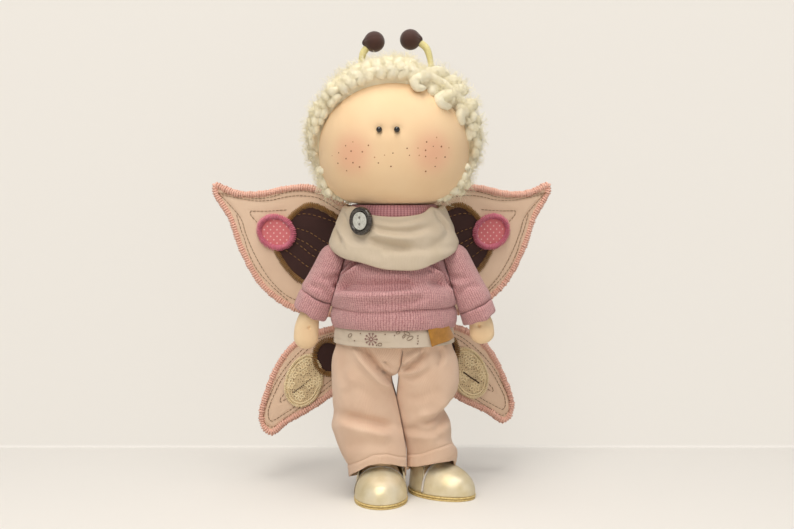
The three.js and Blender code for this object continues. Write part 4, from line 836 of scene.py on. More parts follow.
def creases(angles, heights, lines, pace=0.55):
    """Soft folds, in millimetres. Each line is its points as (degrees round from the front, height),
    its depth, its width and how far its left-hand side swells over it, or its right one below 0."""
    total = np.zeros(np.broadcast(angles, heights).shape)
    for points, depth, width, swell in lines:
        points = np.array(points, float)
        x = ((angles - points[0, 0] + 180) % 360 - 180) * pace
        z = heights + 0 * x
        x = x + 0 * z
        flat = np.column_stack([(points[:, 0] - points[0, 0]) * pace, points[:, 1]])
        flat = eased(flat, 4 * len(flat))
        best = np.full(x.shape, 1e9)
        sign, place = np.ones(x.shape), np.zeros(x.shape)
        for index, (start, end) in enumerate(zip(flat[:-1], flat[1:])):
            span = end - start
            share = np.clip(((x - start[0]) * span[0] + (z - start[1]) * span[1]) / (span @ span), 0, 1)
            dx, dz = x - start[0] - share * span[0], z - start[1] - share * span[1]
            apart = np.hypot(dx, dz)
            nearer = apart < best
            best = np.where(nearer, apart, best)
            sign = np.where(nearer, np.sign(span[0] * dz - span[1] * dx), sign)
            place = np.where(nearer, (index + share) / (len(flat) - 1), place)
        fade = np.clip(4 * np.minimum(place, 1 - place), 0, 1)
        fade = 0.15 + 0.85 * fade * fade * (3 - 2 * fade)
        valley = -np.exp(-(best / width) ** 2)
        over = best * sign * np.sign(swell or 1)
        ridge = abs(swell) * np.exp(-((over - 1.5 * width) / (1.3 * width)) ** 2)
        total += depth * (valley + ridge) * fade
    return total


def round_angles(columns):
    return -180 + 360 * np.arange(columns) / columns


def garment(name, rings, wall, material):
    """A cloth of even thickness: an outer and an inner skin that meet in a rounded edge."""
    inner = pushed(rings, -wall)
    edge = lambda row: pushed(rings, -wall / 2)[row] + (rings[row] - rings[1 if row == 0 else -2]) * 0.3
    stack = np.concatenate([rings, edge(-1)[None], inner[::-1], edge(0)[None]])
    return skin(name, stack, material, hoop=True)


shirt_rows = [[0, 0, 126, 29.6, 20.9], [0, 0, 115, 32.8, 23.3], [0, 0, 103, 34.0, 23.9],
              [0, 0, 98, 34.8, 24.8], [0, 0, 91, 35.2, 24.9]]
shirt_rings = loft(shirt_rows, 60, 120, 2.15)
angles, heights = round_angles(120), shirt_rings[..., 2]
shirt_rings = pushed(shirt_rings, creases(angles, heights, [
    ([(-180, 93.6), (-60, 93.6), (60, 93.6), (180, 93.6)], 0.18, 0.5, 0),
    ([(-62, 101), (-50, 96), (-44, 91)], 0.5, 2.2, 0.4), ([(52, 101), (58, 95), (60, 91)], 0.5, 2.4, 0.4),
    ([(140, 101), (146, 91)], 0.6, 3.0, 0.5), ([(-132, 101), (-138, 91)], 0.6, 3.0, 0.5)]))
shirt_rings[..., 2] += np.clip((98 - heights) / 7, 0, 1) * 0.9 * (1 - np.cos(np.radians(angles)) ** 2)
shirt_cotton = cloth("printed undershirt jersey", paint(216, 202, 184), paint(198, 180, 154), 0.00055,
                     0.0005, 0.00005, stitch=0.25)
undershirt = garment("undershirt_jersey", shirt_rings, 0.9, shirt_cotton)
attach(undershirt, "torso")
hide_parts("undershirt")

# The sweater: mauve stockinette knit, cut from a fine knitted cloth. The body blouses over a
# doubled waistband, and a ribbed collar stands up round the neck.
mauve, mauve_shade = paint(244, 196, 194), paint(174, 114, 118)
sweater_knit = cloth("mauve stockinette", mauve, mauve_shade, 0.00135, 0.00105, 0.00042, stitch=0.85,
                     drift=0.42, patch=1100.0, rough=0.95, sheen=0.3, wobble=0.0012)
collar_rib = cloth("mauve rib", paint(230, 172, 176), paint(156, 96, 106), 0.0017, 0.0012, 0.00045,
                   stitch=0.95, rough=0.95, sheen=0.3)
band_rows = [[0, 0, 113.6, 34.7, 25.4], [0, 0, 110.6, 36.3, 26.8], [0, 0, 104, 36.5, 27.0],
             [0, 0, 101.0, 35.4, 26.0]]
band_rings = loft(band_rows, 34, 160, 2.15)
band_rings = pushed(band_rings, creases(round_angles(160), band_rings[..., 2], [
    ([(-70, 111), (-64, 102)], 0.35, 1.6, 0.3), ([(-20, 110), (-16, 103)], 0.25, 2.4, 0.3),
    ([(38, 110), (44, 102)], 0.3, 2.0, 0.3), ([(120, 110), (124, 102)], 0.4, 2.6, 0.3),
    ([(-118, 110), (-124, 102)], 0.4, 2.6, 0.3), ([(-150, 108), (0, 107), (150, 108)], -0.3, 3.4, 0)]))
waistband = garment("waistband_knit", band_rings, 1.9, sweater_knit)
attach(waistband, "torso")
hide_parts("sweater_waistband")

sweater_rows = [
    [0, 0, 165.3, 14, 13.5], [0, 0, 161.3, 16.5, 15.5], [0, 0, 155.3, 21.5, 18], [0, 0, 147.3, 27, 21],
    [0, 0, 139.3, 30, 23], [0, 0, 131.3, 32, 24.5], [0, 0, 125.9, 34.6, 26], [0, 0, 120.9, 36.9, 28.0],
    [0, 0, 116.9, 37.2, 28.6], [0, 0, 113.4, 36.4, 27.6], [0, 0, 112.6, 35.0, 26.0],
    [0, 0, 113.6, 33.6, 24.2],
]
sweater_rings = loft(sweater_rows, 120, 200, 2.15)
angles, heights = round_angles(200), sweater_rings[..., 2]
sweater_rings = pushed(sweater_rings, np.maximum(-3.0, 2.3 * creases(angles, heights, [
    ([(-38, 142), (-50, 136), (-64, 130), (-74, 123)], 3.2, 2.2, 0.7),
    ([(-50, 143), (-64, 137), (-78, 131)], 1.8, 1.8, 0.6),
    ([(-74, 122.5), (-48, 125), (-22, 124.8), (6, 125.8), (28, 128)], 1.7, 2.4, -0.6),
    ([(40, 140), (54, 133.5), (66, 128), (80, 121)], 3.0, 2.2, -0.6),
    ([(36, 136), (46, 131.5), (56, 126)], 1.4, 1.6, 0.5),
    ([(28, 127), (50, 128), (66, 124.5), (80, 121.5)], 1.6, 2.6, 0.5),
    ([(-30, 118.5), (0, 117.6), (30, 118.8)], 0.9, 2.4, 0.4),
    ([(150, 138), (120, 126), (100, 120)], 1.8, 3.2, 0.5),
    ([(-150, 138), (-122, 127), (-100, 120)], 1.8, 3.2, 0.5),
    ([(-165, 128), (180, 124), (160, 121)], 1.2, 3.0, 0.5)])))
lower = np.clip((123 - heights) / 6, 0, 1)
sweater_rings[..., 2] += lower * (np.sin(np.radians(angles * 2 - 20)) - 0.6 * np.cos(np.radians(angles))
                                  + 0.4 * np.sin(np.radians(angles * 5)))

armhole_lean, arm_spread, seam_gap = math.radians(16.5), math.radians(25.5), 0.15


def shoulder(side):
    """Where the armhole seam sits, which way it faces, and the arm's own line."""
    outward = np.array([side * math.cos(armhole_lean), 0, math.sin(armhole_lean)])
    seat = np.array([side * 29.4, 0, shoulder_height - 0.6])
    down = np.array([side * math.sin(arm_spread), 0, -math.cos(arm_spread)])
    return outward, seat, seat + outward * 5.0, down


def held_behind(points, side, offset):
    """Points kept on the body's side of one armhole seam."""
    outward, seat, _, _ = shoulder(side)
    beyond = np.maximum((points - seat) @ outward - offset, 0)
    return points - beyond[..., None] * outward


def held_in(points, side, offset):
    """Points kept on the arm's side of one armhole seam."""
    outward, seat, _, _ = shoulder(side)
    return points - np.minimum((points - seat) @ outward - offset, 0)[..., None] * outward


for side in (-1, 1):
    sweater_rings = held_behind(sweater_rings, side, -seam_gap)
sweater = garment("sweater_knit", sweater_rings, 1.3, sweater_knit)
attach(sweater, "torso")
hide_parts("sweater_body")

collar_rows = [[0, 0, 171.6, 24.2, 21.4], [0, 0, 169.5, 25.3, 22.4], [0, 0, 164.8, 25.4, 22.4],
               [0, 0, 160.8, 23.8, 20.8]]
collar = garment("collar_rib", loft(collar_rows, 30, 150, 2.1), 2.6, collar_rib)
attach(collar, "torso")
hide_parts("sweater_collar")

# The sleeves: the same knit, set into the armholes, with a cuff turned up at the wrist, further on
# the doll's right. The stuffed arm inside ends in a mitten hand with a pulled stitch for the thumb.
cuffs = {"right": (23.7, 11.2, 22.0), "left": (29.7, 8.2, 19.0)}
for side_name, side in (("right", -1), ("left", 1)):
    _, _, centre, down = shoulder(side)
    arm_point = lambda distance: centre + down * distance
    cuff_start, cuff_long, hand_long = cuffs[side_name]
    rows = [[*arm_point(d), r, r] for d, r in ((0, 10), (cuff_start * 0.35, 10.3), (cuff_start * 0.7, 10.9),
                                               (cuff_start - 3, 11.3), (cuff_start - 0.9, 10.7),
                                               (cuff_start + 0.2, 9.4), (cuff_start + 1, 8.2))]
    rings = loft(rows, 90, 120, 2.0, domes=(10, 0), tilted=True)
    angles, run = round_angles(120), (rings - centre) @ down
    inner_side = -side * 90
    rings = pushed(rings, creases(angles, run, [
        ([(inner_side - 70, 10), (inner_side, 15), (inner_side + 70, 9)], 1.6, 2.0, 0.6),
        ([(-side * 50, 21), (0, 17), (side * 50, 20)], 1.1, 2.0, 0.6),
        ([(-side * 75, 2), (-side * 20, 9), (side * 24, 13)], 1.4, 2.2, 0.5),
        ([(-side * 100, 17), (-side * 60, 13), (-side * 16, 15)], 1.0, 1.7, -0.5),
        ([(120, 17), (180, 21), (240, 18)], 1.1, 2.4, 0.5),
        ([(130, 6), (180, 9), (230, 5)], 0.9, 2.4, 0.5)],
        pace=0.18) * np.clip((cuff_start - run) / 4, 0, 1))
    rings = held_in(rings, side, seam_gap)
    sleeve = skin("sleeve_knit_" + side_name, rings, sweater_knit)
    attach(sleeve, "arm_" + side_name)
    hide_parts("sleeve_" + side_name)

    rows = [[*arm_point(cuff_start + cuff_long * share), r, r] for share, r in (
        (0.02, 9.6), (0.06, 10.5), (0.2, 10.9), (0.5, 10.7), (0.8, 10.5), (0.95, 10.1), (1, 9.4))]
    rings = loft(rows, 40, 120, tilted=True)
    angles = np.radians(round_angles(120))
    rings = pushed(rings, 0.25 * np.sin(3 * angles + side) + 0.18 * np.sin(7 * angles))
    waver = 0.45 * np.sin(2 * angles + 1) + 0.25 * np.sin(5 * angles)
    rings += down * waver[None, :, None]
    cuff = garment("cuff_knit_" + side_name, held_in(rings, side, seam_gap), 2.1, sweater_knit)
    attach(cuff, "arm_" + side_name)
    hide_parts("cuff_" + side_name)

    wrist = arm_point(33)
    rows = [[*arm_point(0), 5.2, 5.2], [*arm_point(13.2), 5.5, 5.5], [*arm_point(24.7), 5.6, 5.4],
            [*wrist, 5.6, 5.2], [wrist[0] + side * 2.4, 0, wrist[2] - hand_long * 0.42, 7.0, 5.0],
            [wrist[0] + side * 2.9, 0, wrist[2] - hand_long * 0.68, 7.2, 4.8]]
    rings = loft(rows, 90, 84, 2.2, domes=(5.2, hand_long * 0.32), tilted=True)
    rings = held_in(rings, side, seam_gap)
    pull = np.array([wrist[0] + side * 0.6, -5.0, wrist[2] - hand_long * 0.42])
    reach = np.linalg.norm(rings - pull, axis=2)
    rings = pushed(rings, -1.5 * np.exp(-(reach / 1.0) ** 2) - 0.6 * np.exp(-(reach / 3.0) ** 2))
    arm = skin("arm_jersey_" + side_name, rings, body_jersey)
    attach(arm, "arm_" + side_name)
    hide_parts("arm_" + side_name)

# The scarf: a wide tube of cream jersey pulled over the head and folded down into a cowl, low in
# front and lifted over the shoulders, held at one side by a sewn button.
scarf_profile = [[0, 2.6], [0.04, 0.7], [0.12, 0.2], [0.3, 1.6], [0.5, 3.6], [0.7, 5.6], [0.86, 7.2],
                 [0.96, 8.6], [1, 10.2]]


def scarf_level(front, side_rise, back, toward):
    share = np.abs(toward) ** 1.45
    return head_bottom + side_rise + (np.where(toward > 0, front, back) - side_rise) * share


def scarf_ring(angle, share, draw):
    toward = np.cos(np.radians(angle))
    hem, rim = scarf_level(-35, -24, -29, toward), scarf_level(-5.2, 1.2, -0.5, toward)
    hem = hem + 1.6 * np.exp(-((angle + 30) / 16) ** 2) - 1.2 * np.exp(-((angle - 22) / 14) ** 2)
    rim = rim + 2.4 * np.exp(-((angle - 49) / 9) ** 2) + 2.2 * np.exp(-((angle + 52) / 14) ** 2)
    wide, deep = 38 - draw, 29.5 - draw * 0.45
    return np.stack([np.sin(np.radians(angle)) * wide, -toward * deep, hem + (rim - hem) * share], axis=-1)


angles = round_angles(260)
outer = np.array([scarf_ring(angles, share, draw) for share, draw in eased(scarf_profile, 90)[::-1]])
shares = np.linspace(1, 0, 90)[:, None]
outer = pushed(outer, creases(angles, outer[..., 2], [
    ([(-33, 155), (-18, 151.6), (0, 149.4), (22, 147.6)], 3.0, 2.3, 0.6),
    ([(-30, 160), (-8, 157.6), (18, 157), (44, 160)], 2.2, 2.2, -0.6),
    ([(-26, 165.4), (-6, 162.4), (16, 163), (40, 167)], 1.8, 1.7, -0.6),
    ([(30, 148), (52, 152), (72, 158)], 1.0, 2.4, 0.4),
    ([(-88, 160), (-70, 155), (-54, 149.5)], 2.4, 2.0, 0.6),
    ([(-72, 167), (-60, 163), (-52, 157)], 2.0, 1.8, 0.6),
    ([(50, 170), (58, 163), (72, 155)], 2.2, 2.0, 0.6),
    ([(84, 160), (100, 152), (120, 150)], 1.2, 2.6, 0.6),
    ([(-100, 158), (-130, 152), (-160, 155)], 1.3, 2.8, 0.6),
    ([(176, 160), (140, 154), (110, 158)], 1.2, 2.6, 0.6),
    ([(170, 148), (-150, 147), (-110, 150)], 1.0, 2.4, 0.5)], pace=0.56) * np.sin(math.pi * shares ** 0.8))
button_low, button_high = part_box("scarf_button_rim")
button_middle = (np.array(button_low) + np.array(button_high)) / 2 * 1000 - doll_middle * 1000
button_turn = math.radians(40)
button_face = np.array([-math.sin(button_turn), -math.cos(button_turn), 0])
button_side = np.array([math.cos(button_turn), -math.sin(button_turn), 0])
button_foot = button_middle - button_face * 1.5
proud = (outer - button_foot) @ button_face + 0.4
aside = np.linalg.norm(outer - button_foot - (proud - 0.4)[..., None] * button_face, axis=2)
under = np.clip((15.5 - aside) / 6, 0, 1)
outer = outer - (np.maximum(proud, 0) * under * under * (3 - 2 * under))[..., None] * button_face
inner = pushed(outer, -3.4)
scarf_jersey = cloth("cream scarf jersey", paint(226, 210, 188), paint(198, 180, 150), 0.00075, 0.00065,
                     0.00018, stitch=0.35, drift=0.3, wobble=0.0008)
scarf = skin("scarf_jersey", np.concatenate([outer, inner[::-1][2:-2:3]]), scarf_jersey, hoop=True)
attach(scarf, "torso")
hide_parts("scarf")

# The button: a dark horn coat button with a raised rim, and a mother-of-pearl disc set into it. It
# is sewn through two holes to the side of the scarf.
hole_rise, hole_radius = 1.9, 0.72


def turned_disc(name, outline, material, holes=()):
    """A disc turned from a profile of (radius, height) points, set on the scarf."""
    angle = round_turns(96)
    rings = np.array([[(radius * math.cos(turn), radius * math.sin(turn), height) for turn in angle]
                      for radius, height in outline])
    for x, y in holes:
        reach = np.hypot(rings[..., 0] - x, rings[..., 1] - y)
        rings[..., 2] -= 0.75 * np.clip((hole_radius - reach) / 0.2, 0, 1)
    return skin(name, button_foot + rings[..., :1] * button_side + rings[..., 1:2] * np.array([0, 0, 1.0])
                + rings[..., 2:] * button_face, material)


def dyed(tree, share, first, second, low=0.0, high=1.0):
    """A colour that goes from the first to the second one while the share goes from low to high."""
    ramp = node(tree, "ShaderNodeValToRGB", Fac=share)
    for stop, place, colour in zip(ramp.color_ramp.elements, (low, high), (first, second)):
        stop.position, stop.color = place, colour
    return ramp.outputs["Color"]


horn, tree, surface, where = new_finish("dark polished horn")
streak = node(tree, "ShaderNodeMapping", Vector=where["Object"], Scale=(300.0, 300.0, 1400.0),
              Rotation=(0.5, 0.2, 0.4)).outputs["Vector"]
grain = noise(tree, streak, 1.0, 5.0, Distortion=1.5)
fill(surface, Base_Color=dyed(tree, grain, paint(34, 28, 25), paint(112, 104, 96), 0.42, 0.78),
     Roughness=ranged(tree, grain, To_Min=0.16, To_Max=0.34), Coat_Weight=0.4, Coat_Roughness=0.12)
rim = turned_disc("button_rim", [(0.01, 0), (3, 0), (7.1, 0), (7.9, 0.35), (8.1, 1.0), (8.1, 1.9),
                                 (7.95, 2.45), (7.6, 2.85), (7.1, 3.0), (6.5, 2.95), (5.9, 2.6),
                                 (5.55, 2.2), (5.4, 1.7), (4, 1.7), (0.01, 1.7)], horn)
pearl_white, tree, surface, where = new_finish("mother of pearl")
lustre = noise(tree, where["Object"], 420.0, 3.0, Distortion=2.0)
colour = dyed(tree, lustre, paint(196, 196, 186), paint(228, 228, 220), 0.35, 0.7)
# Painted shade darkens the pearl in and round each of its two thread holes.
for rise in (-hole_rise, hole_rise):
    hole = at([button_foot + button_face * 2.7 + np.array([0, 0, rise])])[0]
    apart = node(tree, "ShaderNodeVectorMath", {"operation": "DISTANCE"}, _0=where["Object"],
                 _1=tuple(hole))
    dark = ranged(tree, apart.outputs["Value"], From_Min=0.0006, From_Max=0.00095, To_Min=0.85, To_Max=0.0)
    colour = mixed(tree, dark, colour, paint(96, 88, 78))
fill(surface, Base_Color=colour, Normal=raised(tree, lustre, 0.3, 0.00003), Roughness=0.22, Coat_Weight=0.5)
pearl = turned_disc("button_pearl", [(0.01, 2.0), (4.9, 2.0), (5.1, 2.3), (5.05, 2.7), (4.8, 2.9),
                                     (4.4, 2.95)]
                    + [(radius, 2.82) for radius in np.arange(4.1, 0.1, -0.22)] + [(0.01, 2.82)],
                    pearl_white, [(0, hole_rise), (0, -hole_rise)])
for made, node_name, slot in ((rim, "scarf_button_rim", "horn"), (pearl, "scarf_button_pearl", "pearl")):
    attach(made, "torso")
    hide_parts(node_name)

# The tag: a folded scrap of mustard suede, cut by hand a little askew and sewn under the sweater's
# edge, so that its lower corners stand off the shirt.
suede, tree, surface, where = new_finish("mustard suede")
nap = noise(tree, where["Object"], 260.0, 4.0, Roughness=0.65)
fill(surface, Base_Color=dyed(tree, nap, paint(160, 108, 40), paint(190, 136, 58), 0.3, 0.75),
     Normal=raised(tree, noise(tree, where["Object"], 3200.0), 0.7, 0.00012), Roughness=0.95,
     Specular_IOR_Level=0.15, Sheen_Weight=0.5)


def shirt_front(x):
    """How far forward the undershirt's face stands at x."""
    return -25.0 * (1 - np.minimum(np.abs(x) / 35.6, 0.999) ** 2.15) ** (1 / 2.15)


down, along = np.meshgrid(np.linspace(0, 1, 22), np.linspace(0, 1, 30), indexing="ij")
corners = np.array([[19.2, 101.2], [31.2, 102.8], [35.0, 95.4], [21.4, 91.0]])
shares = ((1 - down) * (1 - along), (1 - down) * along, down * along, down * (1 - along))
flat = sum(share[..., None] * corner for share, corner in zip(shares, corners))
flat[..., 1] += 0.35 * np.sin(5 * along + 1) * down
stand = 0.5 + 0.9 * down ** 2 * (0.4 + along) + 0.25 * np.sin(7 * along + 2 * down)
face = np.stack([flat[..., 0], shirt_front(flat[..., 0]) - stand - 0.6, flat[..., 1]], axis=-1)
back = face + [0.25, 1.05, 0]
tag = skin("suede_scrap", np.concatenate([face, back[:, ::-1]], axis=1), suede)
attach(tag, "torso")
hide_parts("suede_tag")

# The trousers: peach cotton jersey, loose, seamed up the middle at the front and back and down each
# side, with a deep turned hem. They bag over the knees and their hems rest on the shoes.
trouser_jersey = cloth("peach trouser jersey", paint(248, 218, 192), paint(222, 180, 150), 0.00082, 0.0007,
                       0.00022, stitch=0.5, drift=0.3, patch=70.0, sheen=0.3)
seam_line = np.array([[7.2, 108.3, 0], [4, 80, 0], [1.9, 74.5, 0], [0.6, 72.8, 2.1], [0.7, 67, 1.5],
                      [1.3, 60, 0], [3.5, 50, 0], [5.6, 39, 0], [7.4, 28, 0], [7.4, -1, 0]])[::-1]


def seam_at(heights, column=0):
    return np.interp(heights, seam_line[:, 1], seam_line[:, column])


trouser_rows = {
    "right": [[101.3, 32.6, 400, 22.6, 0], [90.3, 33.8, 400, 20, 0.5], [82, 36.2, 22, 19.1, 1.5],
              [70, 36.5, 2, 18.5, 2], [57, 35.9, 2, 17.5, 2], [48, 35.6, 2, 16.7, 2],
              [42, 36.6, 2, 17.2, 2], [36, 34.9, 2, 17, 1.6], [26, 31.3, 2, 16.6, 1],
              [18, 27.3, 2, 16.4, 0.5], [10.5, 26.2, 2, 16, 0]],
    "left": [[101.3, 32.6, 400, 22.6, 0], [90.3, 33.8, 400, 20, 0.5], [80, 37.4, 18, 19, 2],
             [67, 37.9, 2, 18, 3], [58, 35, 2, 17, 4], [52, 31.4, 2, 16, 4.6], [46, 32, 2, 16.3, 5],
             [38, 33.7, 2, 16.1, 6], [30, 34.1, 2, 16.1, 7], [22.5, 37.1, 2, 15.8, 8],
             [12.5, 36.5, 2, 15.5, 8]],
}
front_hem = {
    "right": [(-27, 12.4), (-25.2, 14.8), (-20.6, 18), (-14.9, 21.8), (-8, 23.2), (-0.6, 22.4), (5, 20.4),
              (8, 19.4)],
    "left": [(6, 16), (8, 18.1), (17.8, 20.2), (26.4, 21.6), (34, 21.6), (39, 21)],
}
trouser_folds = {
    "right": [
        ([(-21.5, 94), (-11.4, 80.4), (-5.1, 73.5), (1.5, 67.5)], 3.4, 2.2, -0.9),
        ([(-5.6, 83), (-1.1, 77.2)], 1.3, 1.1, 0.4),
        ([(-33, 50.5), (-14.8, 47), (2.9, 42.6)], 2.8, 3.0, -0.6),
        ([(-30, 60), (-22, 66), (-10, 60)], 0.7, 3.4, 0.3),
        ([(-29, 31), (-16, 35), (0, 33)], 0.7, 3.2, 0.4),
        ([(-28, 84), (-30, 74), (-26, 66)], 0.6, 3.0, 0.4),
    ],
    "left": [
        ([(3, 76.8), (12.6, 82.2), (19, 89)], 2.8, 2.0, 0.7),
        ([(4, 76), (9, 77.2), (14.5, 79.2)], 1.3, 1.1, -0.5),
        ([(5, 72), (14, 73), (23, 79)], 1.2, 2.2, 0.4),
        ([(26.4, 91), (27.4, 84), (25.5, 78)], 1.4, 1.5, 0.5),
        ([(6, 60), (16, 61), (28, 67)], 0.7, 3.0, -0.4),
        ([(37, 58), (26, 48.5), (13, 44.2)], 2.6, 2.8, -0.6),
        ([(35, 52), (30, 46.5), (22.5, 40)], 1.5, 2.2, 0.4),
        ([(6, 42), (16, 40.4), (28, 40)], 1.2, 2.6, -0.5), ([(9, 33), (20, 35), (31, 36)], 0.5, 3.0, 0.4),
    ],
}
back_folds = {
    "right": [([(-30, 84), (-14, 74), (-2, 72)], 1.8, 2.4, -0.5),
              ([(-34, 52), (-18, 47), (0, 50)], 2.0, 3.0, 0.5),
              ([(-34, 38), (-16, 34), (4, 37)], 1.1, 3.0, 0.4), ([(-20, 92), (-8, 84)], 0.9, 2.0, 0.4)],
    "left": [([(32, 84), (16, 74), (4, 72)], 1.8, 2.4, 0.5), ([(34, 54), (20, 48), (6, 51)], 2.0, 3.0, 0.5),
             ([(34, 38), (18, 33), (8, 36)], 1.1, 3.0, 0.4), ([(22, 93), (10, 85)], 0.9, 2.0, 0.4)],
}
hem_seams = {
    "right": [(-36, 17), (-28, 19.5), (-20.6, 23.3), (-12, 27.9), (-4, 28.5), (4, 25.9), (10, 25)],
    "left": [(2, 24), (8, 25.6), (14.9, 26.4), (23.5, 29.7), (34.4, 32.4), (42, 33)],
}
knee_height = 46
for side_name, side, hem0 in (("right", -1, 10.5), ("left", 1, 12.5)):
    rows = []
    for height, outer_x, past, depth, y in trouser_rows[side_name]:
        inner_x = max(-outer_x, side * float(seam_at(height)) - past)
        rows.append([side * (outer_x + inner_x) / 2, y, height, (outer_x - inner_x) / 2, depth])
    rings = loft(rows, 150, 128, 2.2)
    facing = np.clip(0.5 - 0.9 * out_of(rings)[..., 1], 0, 1)
    facing = facing * facing * (3 - 2 * facing)
    hem_x, hem_z = np.array(front_hem[side_name]).T
    hem = hem0 + (np.interp(rings[..., 0], hem_x, hem_z) - hem0) * facing
    under_knee = knee_height - rings[..., 2]
    shin_drop = under_knee * (knee_height - hem) / (knee_height - hem0)
    rings[..., 2] = np.where(under_knee > 0, knee_height - shin_drop, rings[..., 2])
    seam_rise = np.interp(rings[..., 0], *np.array(hem_seams[side_name]).T)
    band = seam_rise * facing + (hem0 + 8.5) * (1 - facing) - rings[..., 2]
    move = 1.45 * facing * creases(rings[..., 0], rings[..., 2], trouser_folds[side_name], 1.0)
    move += (1 - facing) * creases(rings[..., 0], rings[..., 2], back_folds[side_name], 1.0)
    turned_hem = 0.35 * np.clip(band / 1.5, 0, 1) * np.clip((9 - band) / 2, 0, 1)
    move += -0.5 * np.exp(-(band / 0.55) ** 2) + turned_hem
    crease_round = round_angles(128)[None, :]
    at_side = np.minimum(np.abs(crease_round - side * 88), 180)
    move += -0.3 * np.exp(-(at_side / 1.6) ** 2) * (rings[..., 2] < 91)
    rings = pushed(rings, move)
    limit = seam_at(rings[..., 2]) + side * (seam_at(rings[..., 2], 2) + 0.15)
    apart = side * (rings[..., 0] - limit)
    middle_y = rings[..., 1].mean(1)[:, None]
    tuck = np.exp(-(np.maximum(apart, 0) / 1.1) ** 2) * (rings[..., 2] > 76)
    rings[..., 1] -= 0.8 * tuck * np.sign(rings[..., 1] - middle_y)
    rings[..., 0] = np.where(apart < 0, limit, rings[..., 0])
    trouser = garment("trouser_jersey_" + side_name, rings, 1.0, trouser_jersey)
    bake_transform(trouser)
    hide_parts("trouser_" + side_name)

# The shoes: a two-layer sole of pale yellow board, a toe cap and a heel piece of gold leathercloth,
# each with its white cut edge showing, glued round the sole.
gold, tree, surface, where = new_finish("soft gold leathercloth")
pores = node(tree, "ShaderNodeTexVoronoi", Vector=where["Object"], Scale=2600.0).outputs["Distance"]
drift = noise(tree, where["Object"], 90.0, 3.0)
fill(surface, Base_Color=dyed(tree, drift, paint(224, 208, 164), paint(250, 240, 214), 0.3, 0.75),
     Roughness=ranged(tree, drift, To_Min=0.38, To_Max=0.5), Normal=raised(tree, pores, 0.35, 0.00004),
     Metallic=0.35)
cut_edge, tree, surface, where = new_finish("white cut edge of leathercloth")
scuff = noise(tree, where["Object"], 900.0, 3.0)
fill(surface, Base_Color=dyed(tree, scuff, paint(206, 196, 182), paint(246, 240, 232)), Roughness=0.7)
sole_board, tree, surface, where = new_finish("pale yellow sole board")
pressed = noise(tree, where["Object"], 1200.0, 4.0)
fill(surface, Base_Color=dyed(tree, pressed, paint(208, 174, 108), paint(242, 220, 152), 0.36, 0.62),
     Normal=raised(tree, pressed, 0.5, 0.00006), Roughness=0.6)

toe_top = [(-23.2, 3.0), (-22.9, 6.6), (-22, 9.2), (-19.5, 12.2), (-16, 14.4), (-11, 16.6), (-5, 18.4),
           (1.35, 19.4)]
leather_wall, heel_front = 1.05, 1.7


def arch(y, turn, grow):
    """A point of the toe cap at y along the shoe, turn round from one sole edge to the other."""
    half = (shoe_width / 2 + grow) * math.sqrt(max(1 - (y / (23.2 + grow)) ** 2, 0.0))
    height = np.interp(y, *np.array(toe_top).T) + grow - upper_foot
    bend = math.copysign(abs(math.cos(turn)) ** 0.86, math.cos(turn))
    return [half * bend, y, upper_foot + height * math.sin(turn) ** 0.92]


for side_name in ("right", "left"):
    turns = np.linspace(0.0, math.pi, 64)
    lengths = -23.1 + 24.4 * (1 - np.cos(np.linspace(0, math.pi / 2, 30)))
    toe = np.array([[arch(y, turn, 0) for y in lengths]
                    + [arch(y, turn, -leather_wall) for y in lengths[::-1]] for turn in turns])
    vamp = skin("toe_cap_" + side_name, on_shoe(toe, side_name), gold)
    trim = []
    for turn in np.linspace(0.04, math.pi - 0.04, 90):
        top_point, inner_point = np.array(arch(1.3, turn, 0.45)), np.array(arch(1.3, turn, -1.1))
        trim.append([top_point + [0, -1.5, 0.1], top_point + [0, 0.1, 0], top_point + [0, 0.32, -0.15],
                     inner_point + [0, 0.32, 0], inner_point, top_point + [0, -0.75, -0.3]])
    edge = skin("toe_cap_edge_" + side_name, on_shoe(np.array(trim), side_name), cut_edge)
    heel_turns = np.radians(np.linspace(-88, 88, 80))
    stack = []
    for turn in heel_turns:
        loop = []
        for grow, order in ((0.0, range(12)), (-leather_wall, range(11, -1, -1))):
            for step in order:
                share = step / 11
                lean = 1 - 0.1 * share ** 2
                wide, long = (shoe_width / 2 - 0.5 + grow) * lean, (22.6 + grow) * (1 - 0.06 * share)
                loop.append([wide * math.sin(turn), max(long * math.cos(turn), heel_front),
                             upper_foot + 15.6 * share])
        stack.append(loop)
    quarter = skin("heel_piece_" + side_name, on_shoe(np.array(stack), side_name), gold)
    rim_path = [[(shoe_width / 2 - 1.0) * 0.9 * math.sin(turn),
                 max(21.6 * 0.94 * math.cos(turn), heel_front), 18.5] for turn in heel_turns]
    heel_edge = lock(rim_path, [0.55] * len(rim_path), 0, 0.0, 8, 120)
    heel_trim = skin("heel_edge_" + side_name, on_shoe(heel_edge, side_name), cut_edge)
    soles = []
    for name, bottom in (("outsole", 0.0), ("midsole", 1.4)):
        grow = 0.15 if name == "outsole" else 0.35
        rows = [[0, 0, bottom + h, shoe_width / 2 + grow - drawn, 23.0 + grow - drawn]
                for h, drawn in ((1.1, 0.9), (1.08, 0.3), (0.95, 0.08), (0.55, 0.0), (0.15, 0.08),
                                 (0.02, 0.3), (0, 0.9))]
        rings = np.array([[[row[3] * math.sin(t), row[4] * math.cos(t), row[2]]
                           for t in round_turns(120)] for row in rows])
        layer = skin(name + "_board_" + side_name, on_shoe(rings, side_name), sole_board)
        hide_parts(f"shoe_{name}_{side_name}")
        soles.append(layer)
    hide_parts("shoe_vamp_" + side_name)
    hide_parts("shoe_quarter_" + side_name)
    for made in [vamp, quarter, edge, heel_trim] + soles:
        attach(made, "leg_" + side_name)
    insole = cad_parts["insole_" + side_name]
    insole.data.materials.clear()
    insole.data.materials.append(sole_board)

